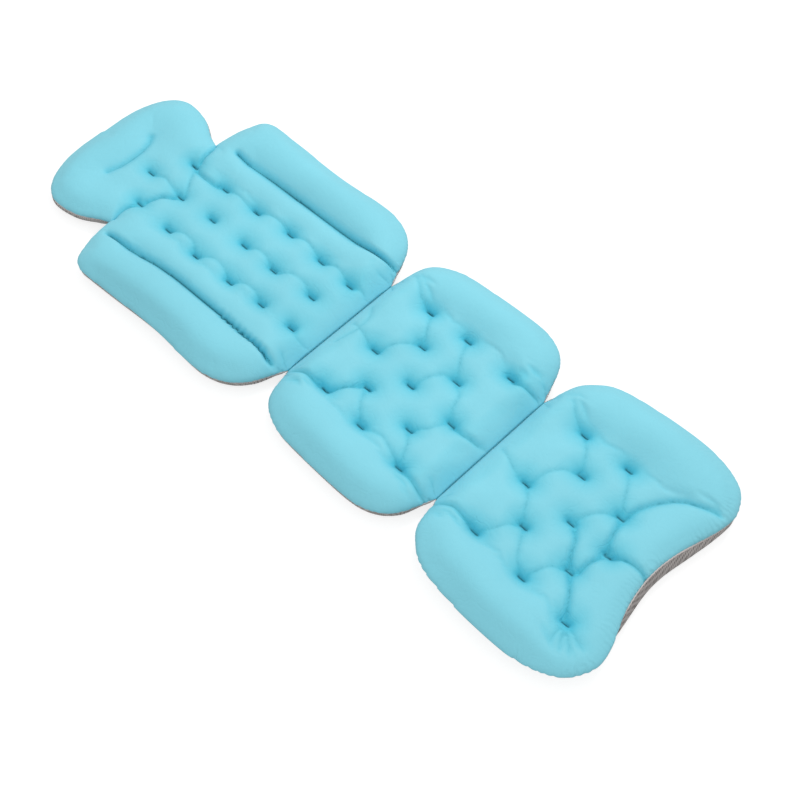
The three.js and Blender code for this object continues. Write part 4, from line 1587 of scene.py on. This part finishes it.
def knit_material():
    material, tree = new_material("cover_knit")
    place = object_place(tree)
    # Painted shade: the colour darkens with the depth of a dip, and is darkest along a slit, channel or fold.
    gather = value_of(tree, "POWER", attribute(tree, "gather"), DIP_SHADE_POWER)
    pinch = value_of(tree, "POWER", attribute(tree, "pinch"), CREASE_SHADE_POWER)
    colour = mixed(tree, pinch, mixed(tree, gather, KNIT_LIGHT, KNIT_DIP_SHADE), KNIT_CREASE_SHADE)
    weave = woven(tree, place, KNIT_PITCH, waver=0.6)
    surfaced(tree, {
        "Base Color": shaded(tree, place, colour, amount=0.12, spots=9.0),
        "Roughness": carried(tree, weave["Gaps"], after=(0.62, 0.8)),
        "Normal": knit_normal(tree, place, weave),
        "Sheen Weight": 0.22, "Sheen Roughness": 0.45, "Sheen Tint": (0.85, 0.97, 1, 1),
        "Specular IOR Level": 0.3,
    })
    return material


cover_knit = knit_material()
print(cover_knit.name, "with", len(cover_knit.node_tree.nodes), "nodes")

# %% [markdown]
# The base is an air mesh: two open faces with springy yarn between them. From near by, its face shows
# small holes in a honeycomb, painted darker as shade inside them. Three waves at sixty degrees, added up, give
# such a honeycomb of spots.
# The pattern doesn't change with height, so on the steep wall it turns into ribs, as on the real wall.

# %% The base's air mesh
MESH_YARN = (0.52, 0.485, 0.47, 1)
MESH_HOLE_SHADE = (0.2, 0.18, 0.172, 1)
HOLE_PITCH = 2.8 * MM
HOLE_DEPTH = 0.9 * MM
YARN_PITCH = 0.9 * MM
YARN_DEPTH = 0.3 * MM


def honeycomb(tree, place):
    """1 in the middle of each hole, falling to 0 on the yarn round it."""
    waves = []
    for angle in (0, math.pi / 3, 2 * math.pi / 3):
        way = (2 * math.pi / HOLE_PITCH * math.cos(angle), 2 * math.pi / HOLE_PITCH * math.sin(angle), 0)
        along = node(tree, "ShaderNodeVectorMath", {0: place, 1: way}, operation="DOT_PRODUCT")
        waves.append(value_of(tree, "COSINE", along.outputs["Value"]))
    total = value_of(tree, "ADD", value_of(tree, "ADD", waves[0], waves[1]), waves[2])
    return carried(tree, total, before=(-0.6, 2.4))


def mesh_material():
    material, tree = new_material("air_mesh")
    place = object_place(tree)
    holes = honeycomb(tree, place)
    face = value_of(tree, "SUBTRACT", 1.0, holes)
    yarn = woven(tree, place, YARN_PITCH, waver=1.5)
    fine = relief(tree, yarn["Height"], strength=0.4, depth=YARN_DEPTH)
    # Painted shade: the holes get a darker copy of the yarn's colour, as shade inside them.
    surfaced(tree, {
        "Base Color": shaded(tree, place, mixed(tree, holes, MESH_YARN, MESH_HOLE_SHADE), amount=0.3, spots=60.0),
        "Roughness": 0.85,
        "Normal": relief(tree, face, strength=0.7, depth=HOLE_DEPTH, below=fine),
        "Sheen Weight": 0.15, "Specular IOR Level": 0.25,
    })
    return material


air_mesh = mesh_material()
print(air_mesh.name, "with", len(air_mesh.node_tree.nodes), "nodes")

# %% [markdown]
# Tapes, discs and threads are woven too. One function makes them all: a colour with an uneven shade,
# a weave at the right scale for its height, and painted shade in the gaps between the threads.

# %% Woven tapes and discs
WEAVE_DEPTH = 0.35 * MM
TAPE_WEAVE = 0.8 * MM
DISC_WEAVE = 1.4 * MM
THREAD_TWIST = 0.5 * MM


def woven_material(name, colour, pitch, gap_share, roughness, sheen):
    """A woven cloth or a thread. The gap shade share is how much of its colour is left in the painted shade
    between the threads.
    """
    material, tree = new_material(name)
    place = object_place(tree)
    weave = woven(tree, place, pitch, waver=1.0)
    # Painted shade: the gaps between the threads get a darker copy of the colour.
    gap_shade_colour = [gap_share * part for part in colour]
    blend = mixed(tree, weave["Gaps"], (*colour, 1), (*gap_shade_colour, 1))
    surfaced(tree, {
        "Base Color": shaded(tree, place, blend, amount=0.25, spots=80.0),
        "Roughness": roughness,
        "Normal": relief(tree, weave["Height"], strength=0.6, depth=WEAVE_DEPTH),
        "Sheen Weight": sheen, "Specular IOR Level": 0.3,
    })
    return material


edge_tape = woven_material(
    "edge_tape", (0.72, 0.66, 0.64), TAPE_WEAVE, gap_share=0.75, roughness=0.8, sheen=0.2)
# The seam tape is darker than its own light blue: its dark teal is painted shade for the seam between two covers.
seam_cloth_painted_shade = woven_material(
    "seam_tape", (0.05, 0.36, 0.46), TAPE_WEAVE, gap_share=0.6, roughness=0.85, sheen=0.1)
disc_cloth = woven_material(
    "woven_disc", (0.32, 0.3, 0.29), DISC_WEAVE, gap_share=0.45, roughness=0.85, sheen=0.1)
edge_thread = woven_material(
    "edge_thread", (0.13, 0.1, 0.1), THREAD_TWIST, gap_share=0.7, roughness=0.6, sheen=0.1)
# The tuft thread's near-black teal is painted shade: it stands for the shadow in the tuft slits and along the
# channels.
tuft_thread = woven_material(
    "tuft_thread", (0.0015, 0.045, 0.075), THREAD_TWIST, gap_share=0.7, roughness=0.8, sheen=0)
disc_thread = woven_material(
    "disc_thread", (0.55, 0.53, 0.52), THREAD_TWIST, gap_share=0.7, roughness=0.6, sheen=0.1)

# %% [markdown]
# Fibre filling is white and tangled: fine noise at two scales, one for the tufts of fibre
# and one for the single strands. It scatters light, so its sheen is strong.
# The cups are clear vinyl, so they let light through and bend it, and are a little blue and scuffed.

# %% Fibre and vinyl
FIBRE_COLOUR = (0.82, 0.82, 0.79, 1)
FIBRE_TUFT_DEPTH = 4 * MM
STRAND_DEPTH = 0.5 * MM
VINYL_COLOUR = (0.9, 0.95, 0.97, 1)
SCUFF_DEPTH = 0.2 * MM


def fibre_material():
    material, tree = new_material("white_fibre")
    place = object_place(tree)
    strands = noise(tree, place, scale=700.0, detail=4.0, distortion=3.0)
    coarse = relief(tree, noise(tree, place, scale=60.0, detail=4.0), strength=0.8, depth=FIBRE_TUFT_DEPTH)
    surfaced(tree, {
        "Base Color": shaded(tree, place, FIBRE_COLOUR, amount=0.25, spots=70.0),
        "Roughness": 0.9,
        "Normal": relief(tree, strands, strength=0.6, depth=STRAND_DEPTH, below=coarse),
        "Sheen Weight": 0.6,
    })
    return material


def vinyl_material():
    """Clear soft vinyl: slightly blue, with faint scuffs in its roughness and its surface."""
    material, tree = new_material("clear_vinyl")
    place = object_place(tree)
    scuffs = noise(tree, place, scale=260.0, detail=5.0, distortion=1.0)
    surfaced(tree, {
        "Base Color": shaded(tree, place, VINYL_COLOUR, amount=0.06, spots=90.0),
        "Roughness": carried(tree, scuffs, before=(0.4, 0.7), after=(0.06, 0.24)),
        "Normal": relief(tree, scuffs, strength=0.15, depth=SCUFF_DEPTH),
        "IOR": 1.53, "Transmission Weight": 0.92,
    })
    return material


white_fibre = fibre_material()
clear_vinyl = vinyl_material()
print("materials:", [material.name for material in bpy.data.materials])

# %% [markdown]
# The stitch lines on a cover have to lie on its finished surface. A ray from above finds it:
# the evaluated mesh, with its subdivision, goes into a search tree, and each place is dropped onto that.

# %% Dropping lines onto the covers
STEP_ON_COVER = 1.5 * MM
SKY_Z = 0.2


def surface_of(piece):
    """The finished surface of a piece, ready to be hit by rays."""
    return BVHTree.FromObject(piece, bpy.context.evaluated_depsgraph_get())


def dropped(line, surface, above):
    """The line, which is given in plan, on top of a surface and a little above it."""
    placed = []
    for x, y in smooth_line(line, STEP_ON_COVER):
        hit = surface.ray_cast(Vector((x, y, SKY_Z)), Vector((0, 0, -1)))[0]
        placed.append((x, y, hit.z + above))
    return np.array(placed)


# %% [markdown]
# Four kinds of stitches. Each tuft is closed by a dense bar of thread, whose near-black teal is painted shade
# for the slit; the two channels of the back are sewn with long stitches of the same painted dark thread, and edge
# tapes and discs have rows of short ones.

# %% All the stitches
TACK_PITCH = 0.8 * MM
TACK_GRAIN = (1 * MM, 4.2 * MM, 1.6 * MM)
TACK_TAPER = 0.7
TACK_SINK = -0.5 * MM
CHANNEL_PITCH = 4.2 * MM
CHANNEL_GRAIN = (3 * MM, 0.8 * MM, 0.6 * MM)
EDGE_PITCH = 3.7 * MM
EDGE_GRAIN = (2.4 * MM, 0.6 * MM, 0.6 * MM)
EDGE_ROW_OUT = 1.95 * MM
DISC_PITCH = 3 * MM
DISC_GRAIN = (2 * MM, 0.6 * MM, 0.5 * MM)
DISC_ROW_RADIUS = 12.6 * MM
DISC_ROW_Z = 5.75 * MM
CHANNEL_LIFT = 0.1 * MM

surfaces = {name: surface_of(cover) for name, cover in covers.items()}
tuft_sets = {
    "head": ("upper", [tuft for tuft in back_tufts if tuft[0] * MM < NECK_X]),
    "back": ("upper", [tuft for tuft in back_tufts if tuft[0] * MM > NECK_X]),
    "seat": ("seat", seat_tufts),
    "leg": ("leg", leg_tufts),
}
stitches = []
for panel, (cover_name, tufts) in tuft_sets.items():
    rows = [dropped(bar, surfaces[cover_name], TACK_SINK) for bar in bars(tufts)]
    tacks = stitched(f"{panel}_tuft_bars", rows, TACK_PITCH, TACK_GRAIN, tuft_thread, TACK_TAPER)
    stitches.append((panel, "cover", tacks))
rows = [dropped(channel, surfaces["upper"], CHANNEL_LIFT) for channel in back_channels]
row = stitched("back_channel_stitches", rows, CHANNEL_PITCH, CHANNEL_GRAIN, tuft_thread)
stitches.append(("back", "cover", row))


def edge_row(line):
    """A line of places on the outside of an edge tape."""
    line = smooth_line(line, STEP_ON_COVER)
    return np.column_stack([line - EDGE_ROW_OUT * inward_normals(line), edge_height(line)])


def disc_row(cup_node):
    """A closed line of places on the disc round a suction cup."""
    ring = circle(centre_of(cup_node), DISC_ROW_RADIUS, TURN_STEPS)
    return np.column_stack([np.vstack([ring, ring[:1]]), np.full(TURN_STEPS + 1, DISC_ROW_Z)])


for panel, lines in edges_of.items():
    rows = [edge_row(line) for line in lines]
    row = stitched(f"{panel}_edge_stitches", rows, EDGE_PITCH, EDGE_GRAIN, edge_thread)
    stitches.append((panel, "binding", row))
    rows = [disc_row(cup_node) for cup_node in cups_of[panel]]
    row = stitched(f"{panel}_disc_stitches", rows, DISC_PITCH, DISC_GRAIN, disc_thread)
    stitches.append((panel, "patch", row))
print(len(stitches), "stitch pieces,", sum(len(piece.data.polygons) for _, _, piece in stitches), "faces")

# %% [markdown]
# Now each piece gets its material and the body that it rides on, and the CAD nodes that it stands for
# are hidden. Head and back share one cover, which rides on neither body.


def dress(piece, material, slot_name, body, *nodes):
    """Gives a piece its material and body, and hides the CAD nodes that it stands for.
    The slot name is not used.
    """
    if material is not None:
        piece.data.materials.clear()
        piece.data.materials.append(material)
    if nodes:
        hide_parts(*nodes)
    if body is not None:
        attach(piece, body)


for panel in ("seat", "leg"):
    dress(covers[panel], cover_knit, "cover", panel, f"{panel}_cover")
dress(covers["upper"], cover_knit, "cover", None, "back_cover", "head_cover")
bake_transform(covers["upper"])
for panel, filling in fillings.items():
    dress(filling, white_fibre, "filling", panel, f"{panel}_filling")
for panel, base in bases.items():
    dress(base, air_mesh, "mesh_base", panel, f"{panel}_mesh_base")
for pieces, material, slot_name in (
    (tapes, edge_tape, "binding"),
    (seam_tapes, seam_cloth_painted_shade, "seam_web"),
    (cups, clear_vinyl, "suction_cup"),
    (patches, disc_cloth, "patch"),
):
    for cad_name, piece in pieces.items():
        dress(piece, material, slot_name, body_of_node[cad_name], cad_name)
for panel, slot_name, piece in stitches:
    dress(piece, None, slot_name, panel)
print("padded pieces:", len(covers) + len(fillings))

# %% [markdown]
# The boxes of the CAD parts and of the visual model are both printed.

# %% Sizes and the end
visual_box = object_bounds()
boxes = {"cad": [list(corner) for corner in cad_box], "visual": [list(corner) for corner in visual_box]}
for name, box in boxes.items():
    print(name, "box", [[round(value, 4) for value in corner] for corner in box])
